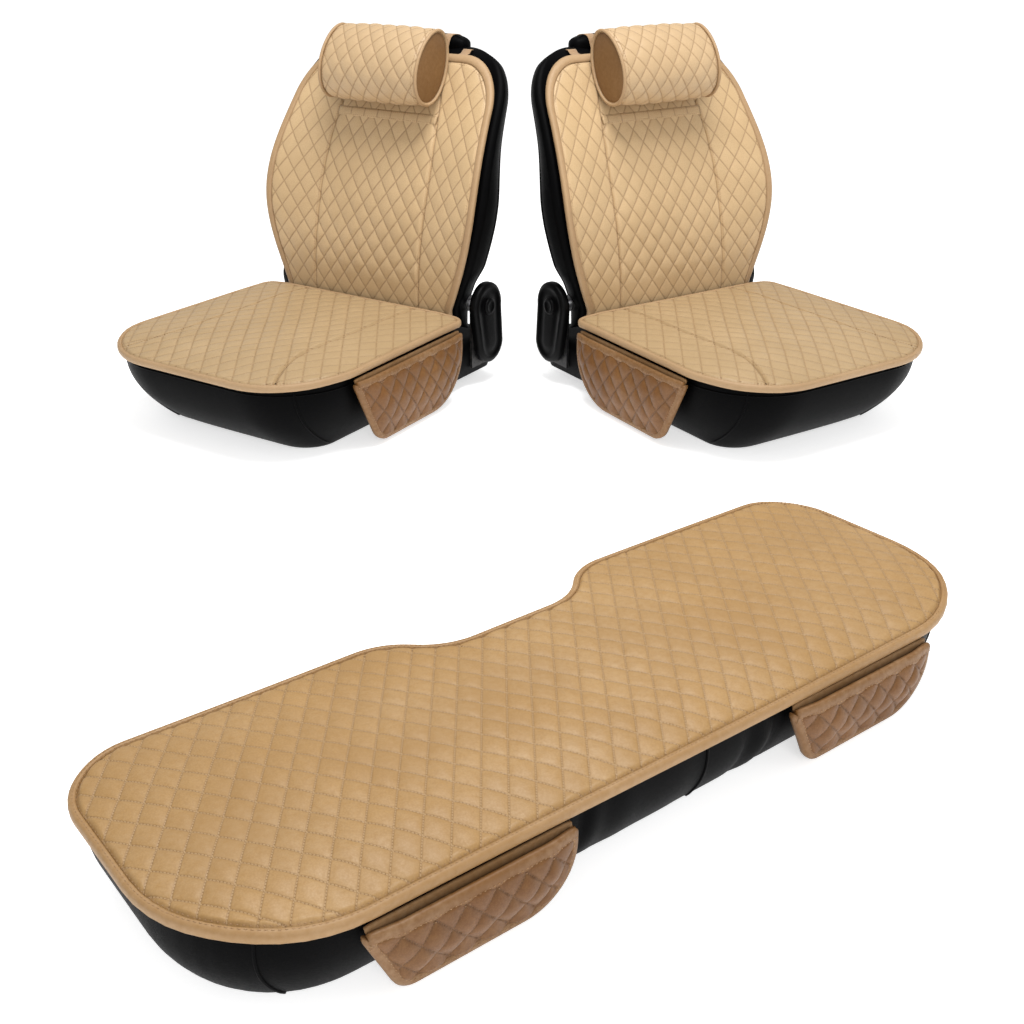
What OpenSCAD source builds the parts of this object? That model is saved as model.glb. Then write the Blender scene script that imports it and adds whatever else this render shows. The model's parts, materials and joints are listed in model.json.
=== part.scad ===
// Seat cover set: quilted covers on two front seats and a rear bench.
// Each front seat is drawn in its own frame: X across, the seat faces -Y, and Y = 0 is the
// crease between cushion and backrest. The bench is drawn the same way about its own centre.

/* [Layout] */
// Distance from the centre line to the crease of each front seat
seat_x = 381; // [376:1:460]
// Place of the front seats along Y
seat_y = 872.9; // [850:0.1:1100]
// Turn of each front seat outwards, in degrees
seat_yaw = 32.7; // [30:0.1:40]
// Place of the bench along X
bench_x = 72.5; // [-100:0.1:100]
// Place of the bench along Y
bench_y = -730.8; // [-900:0.1:-650]
// Turn of the bench, in degrees
bench_yaw = 37.6; // [20:0.1:45]

/* [Front seat cushion] */
// Width of the cushion cover at the crease
cushion_rear_w = 620; // [540:1:660]
// Width of the cushion cover at its front edge
cushion_front_w = 650; // [560:1:680]
// Depth of the cushion cover
cushion_depth = 608; // [490:1:640]
// Height of the cushion cover's top above the floor
cushion_top = 200; // [185:1:260]
// Radius of the cushion cover's front corners
cushion_front_r = 190; // [100:1:200]
// Radius of the cushion cover's rear corners
cushion_rear_r = 30; // [25:1:60]
// Distance from the middle to each cushion seam
cushion_seam_x = 170; // [120:1:190]
// Outward sweep of each cushion seam at the front edge
cushion_seam_flare = 80; // [20:1:95]
// Length over which the cushion seam sweeps outwards
cushion_seam_run = 210; // [120:1:260]
// Gap between the cushion cover and the backrest
crease_gap = 12; // [10:1:20]

/* [Front seat backrest] */
// Width of the back cover at the crease
back_bottom_w = 510; // [440:1:520]
// Width of the back cover at its widest
back_mid_w = 632; // [540:1:650]
// Width of the back cover across its shoulders
back_shoulder_w = 570; // [480:1:600]
// Height of the back cover above the crease
back_h = 557; // [480:1:640]
// Height above the crease of the widest place
back_mid_h = 250; // [200:1:280]
// Height over which the cover narrows to the shoulders
back_taper_h = 307; // [200:1:320]
// Height of the rounded shoulder corners
shoulder_h = 110; // [60:1:120]
// Width of the rounded shoulder corners
shoulder_w = 110; // [60:1:115]
// Distance that the cover's top edge leans behind the crease
back_lean = 195; // [140:1:220]
// How late up its height the backrest starts to lean
lean_power = 1.8; // [1.5:0.1:2.2]
// Distance that the side bolsters stand forward
bolster_rise = 32; // [15:1:40]
// Distance from the middle to each back seam
back_seam_x = 160; // [130:1:170]
// Inward sweep of each back seam at the top
back_seam_sweep = 42; // [0:1:45]
// Height of the yoke seam above the crease
yoke_h = 418; // [380:1:430]
// Radius of the rolled lower end of the back cover, about the recliner axis
roll_r = 85; // [75:1:105]
// Thickness of the backrest at its top, with the cover
back_top_t = 100; // [90:1:120]
// Height that the seat's own leather shows above the cover
leather_rise = 12; // [6:1:20]
// Height of the raised head pad on top of the backrest
head_pad_h = 26; // [15:1:35]
// Width of the raised head pad
head_pad_w = 286; // [240:1:290]

/* [Covers] */
// Thickness of the quilted covers
cover_t = 22; // [14:1:24]
// Width of the binding tape round each cover
binding_w = 20; // [12:1:26]
// Height of the binding tape on the cushion edges
binding_h = 22; // [20:1:26]
// Length of the back cover's tail that rolls into the crease
tail_len = 40; // [20:1:60]
// Thickness of the strap webbing
strap_t = 1.6; // [1:0.1:2]
// Width of the strap webbing
strap_w = 25; // [20:1:30]
// Distance from the middle to each back strap
back_strap_x = 160; // [158:1:165]
// Distance from the middle to each pillow strap
pillow_strap_x = 95; // [60:1:110]

/* [Neck pillow] */
// Length of the neck pillow
pillow_len = 281; // [220:1:282]
// Half of the pillow's height, along the backrest
pillow_long_r = 97; // [80:1:110]
// Half of the pillow's thickness
pillow_short_r = 62; // [55:1:75]
// Height above the crease where the pillow lies on the cover
pillow_at = 504; // [480:1:510]
// Gap between the pillow and the cover
pillow_gap = 3; // [2.5:0.1:5]
// Radius of the pillow's piping
piping_r = 4; // [3:0.5:5]

/* [Pockets] */
// Length of the side pocket on each front seat
side_pocket_len = 400; // [300:1:410]
// Depth of the side pocket
side_pocket_h = 160; // [120:1:165]
// Distance from the crease to the side pocket's rear end
side_pocket_back = 40; // [30:1:60]
// Length of each bench pocket
bench_pocket_len = 290; // [220:1:320]
// Depth of each bench pocket
bench_pocket_h = 104; // [80:1:106]
// Distance from the bench's middle to the middle of each pocket
bench_pocket_x = 339; // [250:1:350]
// Thickness of a pocket's back panel
pocket_back_t = 4; // [3:0.5:6]
// Thickness of a pocket's quilted front panel
pocket_front_t = 7; // [5:0.5:9]
// Opening of a pocket's mouth
pocket_mouth = 14; // [12:1:20]
// How far a pocket bulges below its mouth
pocket_belly = 9; // [4:1:14]
// Distance from the top of a pocket down to its mouth
pocket_mouth_drop = 16; // [12:1:24]

/* [Bench] */
// Length of the bench cover
bench_len = 1336; // [1100:1:1400]
// Depth of the bench cover
bench_depth = 446; // [400:1:500]
// Height of the bench cover's top above the floor
bench_top = 142; // [140:1:200]
// Radius of the bench cover's front corners
bench_front_r = 200; // [100:1:205]
// Radius of the bench cover's rear corners
bench_rear_r = 105; // [40:1:110]
// Half of the recess along the bench's rear edge
recess_half = 148; // [120:1:220]
// Depth of the recess along the bench's rear edge
recess_in = 72; // [30:1:80]
// Radius of the soft curves that lead into the recess
recess_r = 105; // [28:1:110]

/* [Frames and hardware] */
// Distance that the seat's leather stays inside the edge of the cover above it
leather_inset = 24; // [23:1:34]
// Distance that the foot of each front seat tapers in at the sides
seat_foot_in = 100; // [60:1:120]
// Distance that the foot of each front seat tapers in at the front
seat_foot_back = 140; // [80:1:160]
// Distance that the foot of the bench tapers in
bench_foot_in = 35; // [10:1:60]
// Gap between the rolled lower end of the backrest and the seat base under it
block_gap = 17; // [14:1:30]
// Length of the seat base behind the crease
rear_block_len = 165; // [140:1:190]
// Radius of the recliner pins
pin_r = 10; // [6:0.5:12]
// Running clearance of the recliner pins, on radius
pin_clear = 0.05; // [0.02:0.01:0.1]
// Thickness of the recliner brackets
bracket_t = 6; // [4:0.5:8]
// Gap between the backrest's lower end and each bracket
bracket_gap = 26; // [24:1:30]
// Depth of the recliner shields, outwards
shield_depth = 20; // [18:1:26]
// Wall of the recliner shields
shield_wall = 4; // [2:0.5:4]
// Radius of the crease anchor tubes
anchor_r = 9; // [6:0.5:9]
// Length of each crease anchor tube
anchor_len = 90; // [60:1:120]

/* [Hidden] */
SEAT_NODES = ["seat_base", "recliner_brackets", "bracket_bolts", "recliner_pins",
    "recliner_shields", "backrest", "head_pad", "cushion_centre_panel", "cushion_side_panels",
    "cushion_binding", "back_centre_panel", "back_side_panels", "back_yoke", "back_binding",
    "back_straps", "strap_buckles", "anchor_straps", "anchor_tubes", "pocket_back_panel",
    "pocket_front_panel", "pocket_binding", "pillow_body", "pillow_end_caps", "pillow_piping",
    "pillow_strap"];
BENCH_NODES = ["bench_base", "bench_cover", "bench_binding", "bench_anchors"];
POCKET_NODES = ["pocket_back_panel", "pocket_front_panel", "pocket_binding"];

leather = [0.04, 0.04, 0.045];
tan_light = [0.79, 0.68, 0.52];
tan_mid = [0.72, 0.58, 0.41];
tan_dark = [0.5, 0.35, 0.22];
steel = [0.6, 0.6, 0.62];

cushion_under = cushion_top - cover_t;
roll_y = roll_r;
roll_z = cushion_top;
core_r = roll_r - cover_t;
rear_block_h = roll_z - core_r - block_gap;
back_bottom_t = roll_r + core_r;
shell_h = back_h + leather_rise;
corner_s = back_h - shoulder_h;
tail_angle = tail_len / roll_r * 180 / PI;
bracket_x = back_bottom_w / 2 + bracket_gap;
side_angle = atan((cushion_rear_w - cushion_front_w) / 2 / cushion_depth);
pocket_inset = 6;
pocket_gap = 3;
binding_raise = 1;
binding_drop = binding_h + 1;
wrap_step = 15;
slack = 0.3;
// Room left where two stitched panels of the back cover meet
seam_room = 0.6;
// How far behind the cover the backrest's foam begins
foam_room = 2;
bolt_r = 6;
// Height of the bolts, tied to the block that they hold
bolt_z = rear_block_h - 35;
edge_show = 8;
rear_tuck = 0.86;
rear_drop = 25;

// Plane geometry

function unit(v) = v / norm(v);
function left_of(v) = [-v[1], v[0]];
function mix(a, b, t) = a + (b - a) * t;
function at(list, i) = list[(i + len(list)) % len(list)];
function turn(pts, i) = cross(at(pts, i) - at(pts, i - 1), at(pts, i + 1) - at(pts, i));

// Moves one corner of an anticlockwise outline inwards by d
function inset_corner(pts, i, d) =
    let (m = left_of(unit(at(pts, i) - at(pts, i - 1))), n = left_of(unit(at(pts, i + 1) - at(pts, i))))
    pts[i] + (m + n) * d / (1 + m * n);

// An arc of radius r that rounds the corner p between a and b
function corner_arc(a, p, b, r, steps = 8) =
    let (u = unit(a - p), v = unit(b - p), half = acos(u * v) / 2,
        c = p + unit(u + v) * r / sin(half), s = p + u * r / tan(half) - c, e = p + v * r / tan(half) - c,
        from = atan2(s[1], s[0]), sweep = (atan2(e[1], e[0]) - from + 540) % 360 - 180)
    [for (k = [0:steps]) c + r * [cos(from + sweep * k / steps), sin(from + sweep * k / steps)]];

// An anticlockwise outline with rounded corners, moved inwards by d
function rounded(pts, radii, d = 0) =
    let (q = [for (i = [0:len(pts) - 1]) inset_corner(pts, i, d)])
    [for (i = [0:len(pts) - 1])
        each corner_arc(at(q, i - 1), q[i], at(q, i + 1), max(1, radii[i] - sign(turn(pts, i)) * d))];

// Moves an open line sideways by d, to its left
function beside(line, d) = let (n = len(line) - 1)
    [for (i = [0:n]) line[i] + d * left_of(unit(line[min(i + 1, n)] - line[max(i - 1, 0)]))];
function reversed(list) = [for (i = [len(list) - 1:-1:0]) list[i]];
function band(line, t) = concat(line, reversed(beside(line, t)));

// Outlines of the cushion and bench covers

function cushion_outline(d) = let (r = cushion_rear_w / 2, f = cushion_front_w / 2,
        back = -crease_gap, front = -crease_gap - cushion_depth)
    rounded([[-f, front], [f, front], [r, back], [-r, back]],
        [cushion_front_r, cushion_front_r, cushion_rear_r, cushion_rear_r], d);

function bench_outline(d) = let (x = bench_len / 2, y = bench_depth / 2, step = recess_in / 2, r = recess_r)
    rounded([[-x, -y], [x, -y], [x, y], [recess_half + step, y], [recess_half - step, y - recess_in],
            [step - recess_half, y - recess_in], [-step - recess_half, y], [-x, y]],
        [bench_front_r, bench_front_r, bench_rear_r, r, r, r, r, bench_rear_r], d);

function cushion_seam(t) = let (front = -crease_gap - cushion_depth)
    [cushion_seam_x + cushion_seam_flare * t * t, front + cushion_seam_run * (1 - t)];
cushion_seam_line = concat([[cushion_seam_x, 0]], [for (k = [0:8]) cushion_seam(k / 8)],
    [cushion_seam(1.3)]);

// The front of the back cover: across at x, up at s above the crease, d behind the surface

function lean(s) = back_lean * pow(s / back_h, lean_power);
function back_half(s) = s < back_mid_h
    ? mix(back_bottom_w, back_mid_w, sin(90 * max(s, 0) / back_mid_h)) / 2
    : mix(back_mid_w, back_shoulder_w, (1 - cos(180 * min(1, (s - back_mid_h) / back_taper_h))) / 2) / 2;
function corner_in(s) = let (t = max(0, (s - corner_s) / shoulder_h))
    shoulder_w * (1 - sqrt(max(0, 1 - t * t)));
function back_edge(s) = back_half(s) - corner_in(s);
function back_seam(s) = back_seam_x - back_seam_sweep * pow(max(0, (s - back_mid_h) / (back_h - back_mid_h)), 2);
function bolster(x, s) = s <= 0 ? 0
    : bolster_rise * pow(sin(180 * min(1, s / back_h)), 2) * max(0, min(1, (abs(x) - back_seam(s)) / (back_half(s) - back_seam(s))));
function roll_point(angle, r) = [roll_y - r * cos(angle), roll_z - r * sin(angle)];
function front_line(s, d) = s < 0 ? roll_point(-s / roll_r * 180 / PI, roll_r - d)
    : [lean(s) + d, roll_z + s];
function on_back(p, d) = let (q = front_line(p[1], d)) [p[0], q[0] - bolster(p[0], p[1]), q[1]];

function rear_line(s) = [lean(s) + mix(back_bottom_t, back_top_t, s / shell_h),
    roll_z + s * (1 - rear_drop / shell_h)];

tail_rows = [for (k = [0:2]) -tail_len + tail_len * k / 3];
side_rows = [for (k = [0:9]) corner_s * k / 9];
corner_rows = [for (k = [1:6]) corner_s + shoulder_h * sin(15 * k)];
cover_rows = concat(tail_rows, side_rows, corner_rows);
shell_rows = [for (s = concat(side_rows, corner_rows)) s * shell_h / back_h];

outer_edge = [for (s = cover_rows) [back_edge(s), s]];
inner_edge = beside(outer_edge, binding_w);
inner_top = inner_edge[len(inner_edge) - 1][1];
yoke_rows = [for (k = [0:6]) mix(yoke_h, inner_top, k / 6)];
centre_rows = concat(tail_rows, [for (k = [0:9]) yoke_h * k / 9]);

// A closed solid between two grids of points, rows going up and columns going across

module between(front, rear) {
    n = len(front) - 1;
    m = len(front[0]) - 1;
    total = (n + 1) * (m + 1);
    pts = concat([for (r = front) each r], [for (r = rear) each r]);
    function f(i, j) = i * (m + 1) + j;
    function r(i, j) = total + i * (m + 1) + j;
    quads = concat(
        [for (i = [0:n - 1], j = [0:m - 1]) [f(i, j), f(i + 1, j), f(i + 1, j + 1), f(i, j + 1)]],
        [for (i = [0:n - 1], j = [0:m - 1]) [r(i, j + 1), r(i + 1, j + 1), r(i + 1, j), r(i, j)]],
        [for (i = [0:n - 1]) [r(i, 0), r(i + 1, 0), f(i + 1, 0), f(i, 0)]],
        [for (i = [0:n - 1]) [f(i, m), f(i + 1, m), r(i + 1, m), r(i, m)]],
        [for (j = [0:m - 1]) [f(0, j), f(0, j + 1), r(0, j + 1), r(0, j)]],
        [for (j = [0:m - 1]) [f(n, j + 1), f(n, j), r(n, j), r(n, j + 1)]]);
    polyhedron(pts, [for (q = quads) each [[q[0], q[1], q[2]], [q[0], q[2], q[3]]]]);
}

// A panel of the back cover, between two lines of points on its surface
module back_panel(left, right, columns, d0 = 0, d1 = cover_t) {
    between([for (i = [0:len(left) - 1]) [for (j = [0:columns]) on_back(mix(left[i], right[i], j / columns), d0)]],
        [for (i = [0:len(left) - 1]) [for (j = [0:columns]) on_back(mix(left[i], right[i], j / columns), d1)]]);
}

module both_sides() {
    children();
    mirror([1, 0, 0]) children();
}

// Draws a [y, z] outline as a slice of the given width, centred on x
module slice(outline, width, x = 0) {
    translate([x, 0, 0]) rotate([90, 0, 90]) linear_extrude(width, center = true) polygon(outline);
}

module ring(outer, inner, low, high) {
    translate([0, 0, low]) linear_extrude(high - low) difference() {
        polygon(outer);
        polygon(inner);
    }
}

// Front seat: base and recliner

module seat_base() {
    f = cushion_front_w / 2 - seat_foot_in;
    front = -crease_gap - cushion_depth + seat_foot_back;
    foot = rounded([[-f, front], [f, front], [f, rear_block_len - 30], [-f, rear_block_len - 30]], [70, 70, 30, 30]);
    color(leather) {
        hull() {
            translate([0, 0, cushion_under - 1]) linear_extrude(1) polygon(cushion_outline(leather_inset));
            linear_extrude(1) intersection() {
                polygon(foot);
                translate([-f, front]) square([2 * f, -front - crease_gap - leather_inset]);
            }
        }
        hull() {
            linear_extrude(1) intersection() {
                polygon(foot);
                translate([-f, -crease_gap - leather_inset - 60]) square([2 * f, 60 + rear_block_len]);
            }
            translate([-bracket_x, -crease_gap - leather_inset, 30])
                cube([2 * bracket_x, rear_block_len + crease_gap + leather_inset, rear_block_h - 30]);
        }
    }
}

module recliner_brackets() {
    foot_w = 80;
    foot_z = 50;
    color(steel) both_sides() translate([bracket_x, roll_y, roll_z]) rotate([90, 0, 90]) difference() {
        linear_extrude(bracket_t) union() {
            circle(foot_w / 2, $fn = 64);
            translate([-foot_w / 2, foot_z - roll_z]) square([foot_w, roll_z - foot_z]);
        }
        translate([0, 0, -1]) cylinder(h = bracket_t + 2, r = pin_r + pin_clear, $fn = 64);
    }
}

module bracket_bolts() {
    color(steel) both_sides() for (y = [2, 26])
        translate([bracket_x + bracket_t, roll_y + y, bolt_z]) rotate([0, 90, 0]) {
            cylinder(h = 2, r = bolt_r * 1.7, $fn = 32);
            translate([0, 0, 2]) cylinder(h = 5, r = bolt_r * 1.15, $fn = 6);
        }
}

module recliner_pins() {
    x = back_bottom_w / 2;
    color(steel) both_sides() translate([x, roll_y, roll_z]) rotate([0, 90, 0]) {
        cylinder(h = 4, r = pin_r * 2, $fn = 48);
        cylinder(h = bracket_gap + bracket_t + 3, r = pin_r, $fn = 64);
    }
}

module recliner_shields() {
    module shape(r) {
        translate([roll_y + 8, roll_z - 2]) circle(r, $fn = 64);
        translate([roll_y + 20, bolt_z + 20]) circle(r - 6, $fn = 64);
    }
    x = bracket_x + bracket_t;
    color(leather) both_sides() difference() {
        translate([x, 0, 0]) rotate([90, 0, 90]) linear_extrude(shield_depth) hull() shape(58);
        translate([x - 1, 0, 0]) rotate([90, 0, 90]) linear_extrude(shield_depth - shield_wall + 1)
            hull() shape(58 - shield_wall);
    }
}

// Front seat: backrest

module backrest() {
    function half(s) = back_edge(s * back_h / shell_h) + edge_show * min(1, s / back_mid_h);
    function columns(s) = let (h = half(s), m = back_seam(s)) [-h, (-h - m) / 2, -m, 0, m, (h + m) / 2, h];
    // The flat front columns keep clear of the cover behind its surface
    function front_at(x, s) = let (q = front_line(s, cover_t + foam_room)) [x, q[0] - bolster(x, s), q[1]];
    function rear_at(x, s) = let (q = rear_line(s)) [x * rear_tuck, q[0], q[1]];
    color(leather) {
        between([for (s = shell_rows) [for (x = columns(s)) front_at(x, s)]],
            [for (s = shell_rows) [for (x = columns(s)) rear_at(x, s)]]);
        translate([-back_bottom_w / 2, roll_y, roll_z]) rotate([0, 90, 0])
            cylinder(h = back_bottom_w, r = core_r - 1, $fn = 64);
    }
}

shell_front = front_line(shell_h, cover_t + foam_room);
shell_rear = rear_line(shell_h);
pad_front = shell_front[0] + 4;
pad_rear = shell_rear[0] - 14;
pad_top = shell_front[1] + head_pad_h;
function shell_top_z(y) = mix(shell_front[1], shell_rear[1], (y - shell_front[0]) / (shell_rear[0] - shell_front[0]));

module head_pad() {
    soft = 14;
    color(leather) slice(rounded([[pad_front, shell_top_z(pad_front)], [pad_rear, shell_top_z(pad_rear)],
        [pad_rear, pad_top - 4], [pad_front, pad_top]], [1, 1, soft, soft]), head_pad_w);
}

// Front seat: cushion cover

module cushion_strip() {
    polygon(concat(cushion_seam_line, reversed([for (p = cushion_seam_line) [-p[0], p[1]]])));
}

module cushion_centre_panel() {
    color(tan_mid) translate([0, 0, cushion_under]) linear_extrude(cover_t) intersection() {
        polygon(cushion_outline(binding_w));
        cushion_strip();
    }
}

module cushion_side_panels() {
    color(tan_mid) translate([0, 0, cushion_under]) linear_extrude(cover_t) difference() {
        polygon(cushion_outline(binding_w));
        cushion_strip();
    }
}

module cushion_binding() {
    color(tan_light) ring(cushion_outline(0), cushion_outline(binding_w), cushion_top - binding_drop, cushion_top - 1);
}

// Front seat: back cover

module back_centre_panel() {
    color(tan_light) back_panel([for (s = centre_rows) [-back_seam(s), s]], [for (s = centre_rows) [back_seam(s), s]], 2);
}

module back_yoke() {
    color(tan_light) back_panel([for (s = yoke_rows) [-back_seam(s), s]], [for (s = yoke_rows) [back_seam(s), s]], 2);
}

module back_side_panels() {
    seam = [for (p = inner_edge) [back_seam(p[1]) + seam_room, p[1]]];
    edge = [for (p = inner_edge) [p[0] - seam_room, p[1]]];
    color(tan_mid) both_sides() back_panel(seam, edge, 3);
}

module back_binding() {
    n = len(outer_edge) - 1;
    color(tan_light) {
        both_sides() back_panel(inner_edge, outer_edge, 1, -binding_raise);
        top = [inner_top + seam_room, back_h];
        x = inner_edge[n][0];
        back_panel([for (s = top) [-x, s]], [for (s = top) [x, s]], 4, -binding_raise);
    }
}

// Front seat: straps

rear_rows = reversed([for (s = shell_rows) if (s < shell_h - 1) s]);
lower_wrap = [for (a = [wrap_step:wrap_step:150]) roll_point(180 - a, (core_r - 1 + slack) / cos(wrap_step / 2))];
cover_top = front_line(back_h, 0);
ledge = front_line(back_h, cover_t + foam_room) + [-slack, slack];

module back_straps() {
    path = concat([[cover_top[0] + 2, ledge[1]], ledge, shell_front + [-slack, slack], shell_rear + [slack, slack]],
        [for (s = rear_rows) rear_line(s) + [slack, 0]], lower_wrap);
    color(tan_light) both_sides() slice(band(path, strap_t), strap_w, back_strap_x);
}

module strap_buckles() {
    s = 0.4 * back_h;
    tilt = atan2(rear_line(s + 20)[0] - rear_line(s - 20)[0], rear_line(s + 20)[1] - rear_line(s - 20)[1]);
    size = [strap_w + 11, 9, 50];
    color(leather) both_sides() translate([back_strap_x, rear_line(s)[0] + strap_t + size[1] / 2 + 1.5, rear_line(s)[1]])
        rotate([-tilt, 0, 0]) difference() {
            cube(size, center = true);
            for (z = [-17, 17]) translate([0, 0, z]) cube([strap_w + 1, 20, 4], center = true);
        }
}

module pillow_strap() {
    low = 460;
    bend = 8;
    rise = binding_raise + slack;
    front = [for (k = [0:6]) let (s = mix(low, back_h, k / 6))
        front_line(s, s < back_h - binding_w - 8 ? -slack : -rise)];
    over = [[cover_top[0] - rise, cover_top[1] + rise], ledge + [0, slack], shell_front + [-slack, slack],
        [pad_front - slack, pad_top - bend], [pad_front + bend, pad_top + slack], [pad_rear - bend, pad_top - 3],
        [pad_rear + slack, pad_top - 4 - bend], [pad_rear + slack, shell_top_z(pad_rear) + 1], shell_rear + [1, 1]];
    rear = [for (s = rear_rows) if (s > low - 60) rear_line(s) + [slack, 0]];
    color(tan_light) both_sides() slice(band(concat(front, over, rear), strap_t), strap_w, pillow_strap_x);
}

// Front seat: anchors pushed through the crease

anchor_y = crease_gap - 4;
anchor_z = rear_block_h + anchor_r + 1;

module anchor_straps() {
    color(tan_dark) both_sides() slice(band([[slack - crease_gap, cushion_under + 12],
        [anchor_y - anchor_r - strap_t, anchor_z]], strap_t - slack), strap_w, back_seam_x);
}

module anchor_tubes() {
    color(leather) both_sides() translate([back_seam_x - anchor_len / 2, anchor_y, anchor_z]) rotate([0, 90, 0])
        cylinder(h = anchor_len, r = anchor_r, $fn = 48);
}

// Neck pillow: an egg-shaped roll that lies along the top of the back cover

pillow_tilt = atan(lean_power * back_lean / back_h * pow(pillow_at / back_h, lean_power - 1));
pillow_centre = front_line(pillow_at, 0)
    + (pillow_short_r + pillow_gap) * [-cos(pillow_tilt), sin(pillow_tilt)];

function egg(grow) = [for (a = [0:10:350]) let (r = [pillow_short_r + grow, pillow_long_r + grow])
    [r[0] * cos(a) * (1 - 0.08 * sin(a)), r[1] * sin(a)]];

module at_pillow() {
    translate([0, pillow_centre[0], pillow_centre[1]]) rotate([-pillow_tilt, 0, 0]) children();
}

module pillow_body() {
    color(tan_light) at_pillow() slice(egg(0), pillow_len);
}

module pillow_end_caps() {
    cap_t = 4;
    color(tan_dark) at_pillow() both_sides() slice(egg(-2 * piping_r), cap_t, (pillow_len + cap_t) / 2);
}

module pillow_piping() {
    color(tan_light) at_pillow() both_sides() translate([(pillow_len + piping_r) / 2, 0, 0]) rotate([90, 0, 90])
        linear_extrude(piping_r, center = true) difference() {
            polygon(egg(0));
            polygon(egg(-2 * piping_r));
        }
}

// Pockets: x runs along the top edge, which is at z = 0, and -Y is outwards

function pocket_shape(length, depth, d) = let (x = length / 2, taper = 12, r = min(depth * 0.5, 62))
    rounded([[-x, -depth], [x, -depth], [x + taper - 12, 0], [-x - taper + 12, 0]], [r, r, 8, 8], d);
function pocket_out(t, inner) = pocket_back_t + (inner ? 0 : pocket_front_t) + pocket_mouth * (1 - t) + pocket_belly * sin(180 * t);

module outwards(from, to) {
    translate([0, -from, 0]) rotate([90, 0, 0]) linear_extrude(to - from) children();
}

module along(length) {
    rotate([90, 0, -90]) linear_extrude(length, center = true) children();
}

module pocket_back_panel(length, depth) {
    color(tan_dark) outwards(0, pocket_back_t) polygon(pocket_shape(length, depth, 0));
}

module pocket_front_panel(length, depth) {
    function z(t) = -pocket_mouth_drop - (depth - pocket_mouth_drop) * t;
    steps = 8;
    outer = [for (k = [0:steps]) [pocket_out(k / steps, false), z(k / steps)]];
    inner = [for (k = [0:steps - 1]) [pocket_out(k / steps, true), z(k / steps)]];
    color(tan_mid) difference() {
        intersection() {
            along(length) polygon(concat(outer, [[pocket_back_t, -depth], [pocket_back_t, -pocket_mouth_drop]]));
            outwards(0, 60) polygon(pocket_shape(length, depth, 0));
        }
        intersection() {
            along(length) polygon(concat([[-1, 10], [inner[0][0], 10]], inner,
                [[pocket_back_t + 2, z(0.94)], [-1, z(0.94)]]));
            outwards(-1, 60) polygon(pocket_shape(length, depth + 9, pocket_front_t));
        }
    }
}

module pocket_binding(length, depth) {
    grow = 5;
    edge = pocket_back_t + pocket_front_t;
    color(tan_light) difference() {
        outwards(-1, edge) difference() {
            polygon(pocket_shape(length, depth, -grow));
            polygon(pocket_shape(length, depth, 0));
        }
        translate([-length, -60, -pocket_mouth_drop]) cube([2 * length, 120, 100]);
    }
}

module seat_pocket() {
    middle = -side_pocket_back - side_pocket_len / 2;
    half = cushion_rear_w / 2 + (middle + crease_gap) * tan(side_angle);
    translate([half, middle, cushion_top - binding_drop - pocket_gap]) rotate([0, 0, 90 - side_angle])
        translate([0, pocket_inset, 0]) children();
}

module bench_pocket(side) {
    translate([side * bench_pocket_x, pocket_inset - bench_depth / 2, bench_top - binding_drop - pocket_gap])
        children();
}

// Bench

module bench_base() {
    recess = recess_in + leather_inset;
    half = recess_half + recess;
    color(leather) difference() {
        hull() {
            translate([0, 0, bench_top - cover_t - 1]) linear_extrude(1) polygon(bench_outline(leather_inset));
            linear_extrude(1) polygon(bench_outline(leather_inset + bench_foot_in));
        }
        translate([-half, bench_depth / 2 - recess, -1]) cube([2 * half, recess, bench_top]);
    }
}

module bench_cover() {
    color(tan_mid) translate([0, 0, bench_top - cover_t]) linear_extrude(cover_t)
        polygon(bench_outline(binding_w));
}

module bench_binding() {
    color(tan_light) ring(bench_outline(0), bench_outline(binding_w), bench_top - binding_drop, bench_top - 1);
}

module bench_anchors() {
    drop = 60;
    y = bench_depth / 2 - leather_inset + anchor_r;
    z = bench_top - binding_drop - slack;
    color(tan_dark) for (x = [-0.35, 0.35] * bench_len) {
        translate([x - strap_w / 2, y, z - drop]) cube([strap_w, strap_t, drop]);
        translate([x - anchor_len / 2, y + strap_t / 2, z - drop - anchor_r]) rotate([0, 90, 0])
            cylinder(h = anchor_len, r = anchor_r, $fn = 48);
    }
}

// Placing

module front_seat(side) {
    if (side == "left_")
        translate([-seat_x, seat_y, 0]) rotate([0, 0, -seat_yaw]) children();
    else
        mirror([1, 0, 0]) translate([-seat_x, seat_y, 0]) rotate([0, 0, -seat_yaw]) children();
}

module bench() {
    translate([bench_x, bench_y, 0]) rotate([0, 0, bench_yaw]) children();
}

module seat_part(name) {
    if (name == "seat_base") seat_base();
    if (name == "recliner_brackets") recliner_brackets();
    if (name == "bracket_bolts") bracket_bolts();
    if (name == "recliner_pins") recliner_pins();
    if (name == "recliner_shields") recliner_shields();
    if (name == "backrest") backrest();
    if (name == "head_pad") head_pad();
    if (name == "cushion_centre_panel") cushion_centre_panel();
    if (name == "cushion_side_panels") cushion_side_panels();
    if (name == "cushion_binding") cushion_binding();
    if (name == "back_centre_panel") back_centre_panel();
    if (name == "back_side_panels") back_side_panels();
    if (name == "back_yoke") back_yoke();
    if (name == "back_binding") back_binding();
    if (name == "back_straps") back_straps();
    if (name == "strap_buckles") strap_buckles();
    if (name == "anchor_straps") anchor_straps();
    if (name == "anchor_tubes") anchor_tubes();
    if (name == "pillow_body") pillow_body();
    if (name == "pillow_end_caps") pillow_end_caps();
    if (name == "pillow_piping") pillow_piping();
    if (name == "pillow_strap") pillow_strap();
    seat_pocket() pocket_part(name, side_pocket_len, side_pocket_h);
}

module pocket_part(name, length, depth) {
    if (name == "pocket_back_panel") pocket_back_panel(length, depth);
    if (name == "pocket_front_panel") pocket_front_panel(length, depth);
    if (name == "pocket_binding") pocket_binding(length, depth);
}

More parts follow.
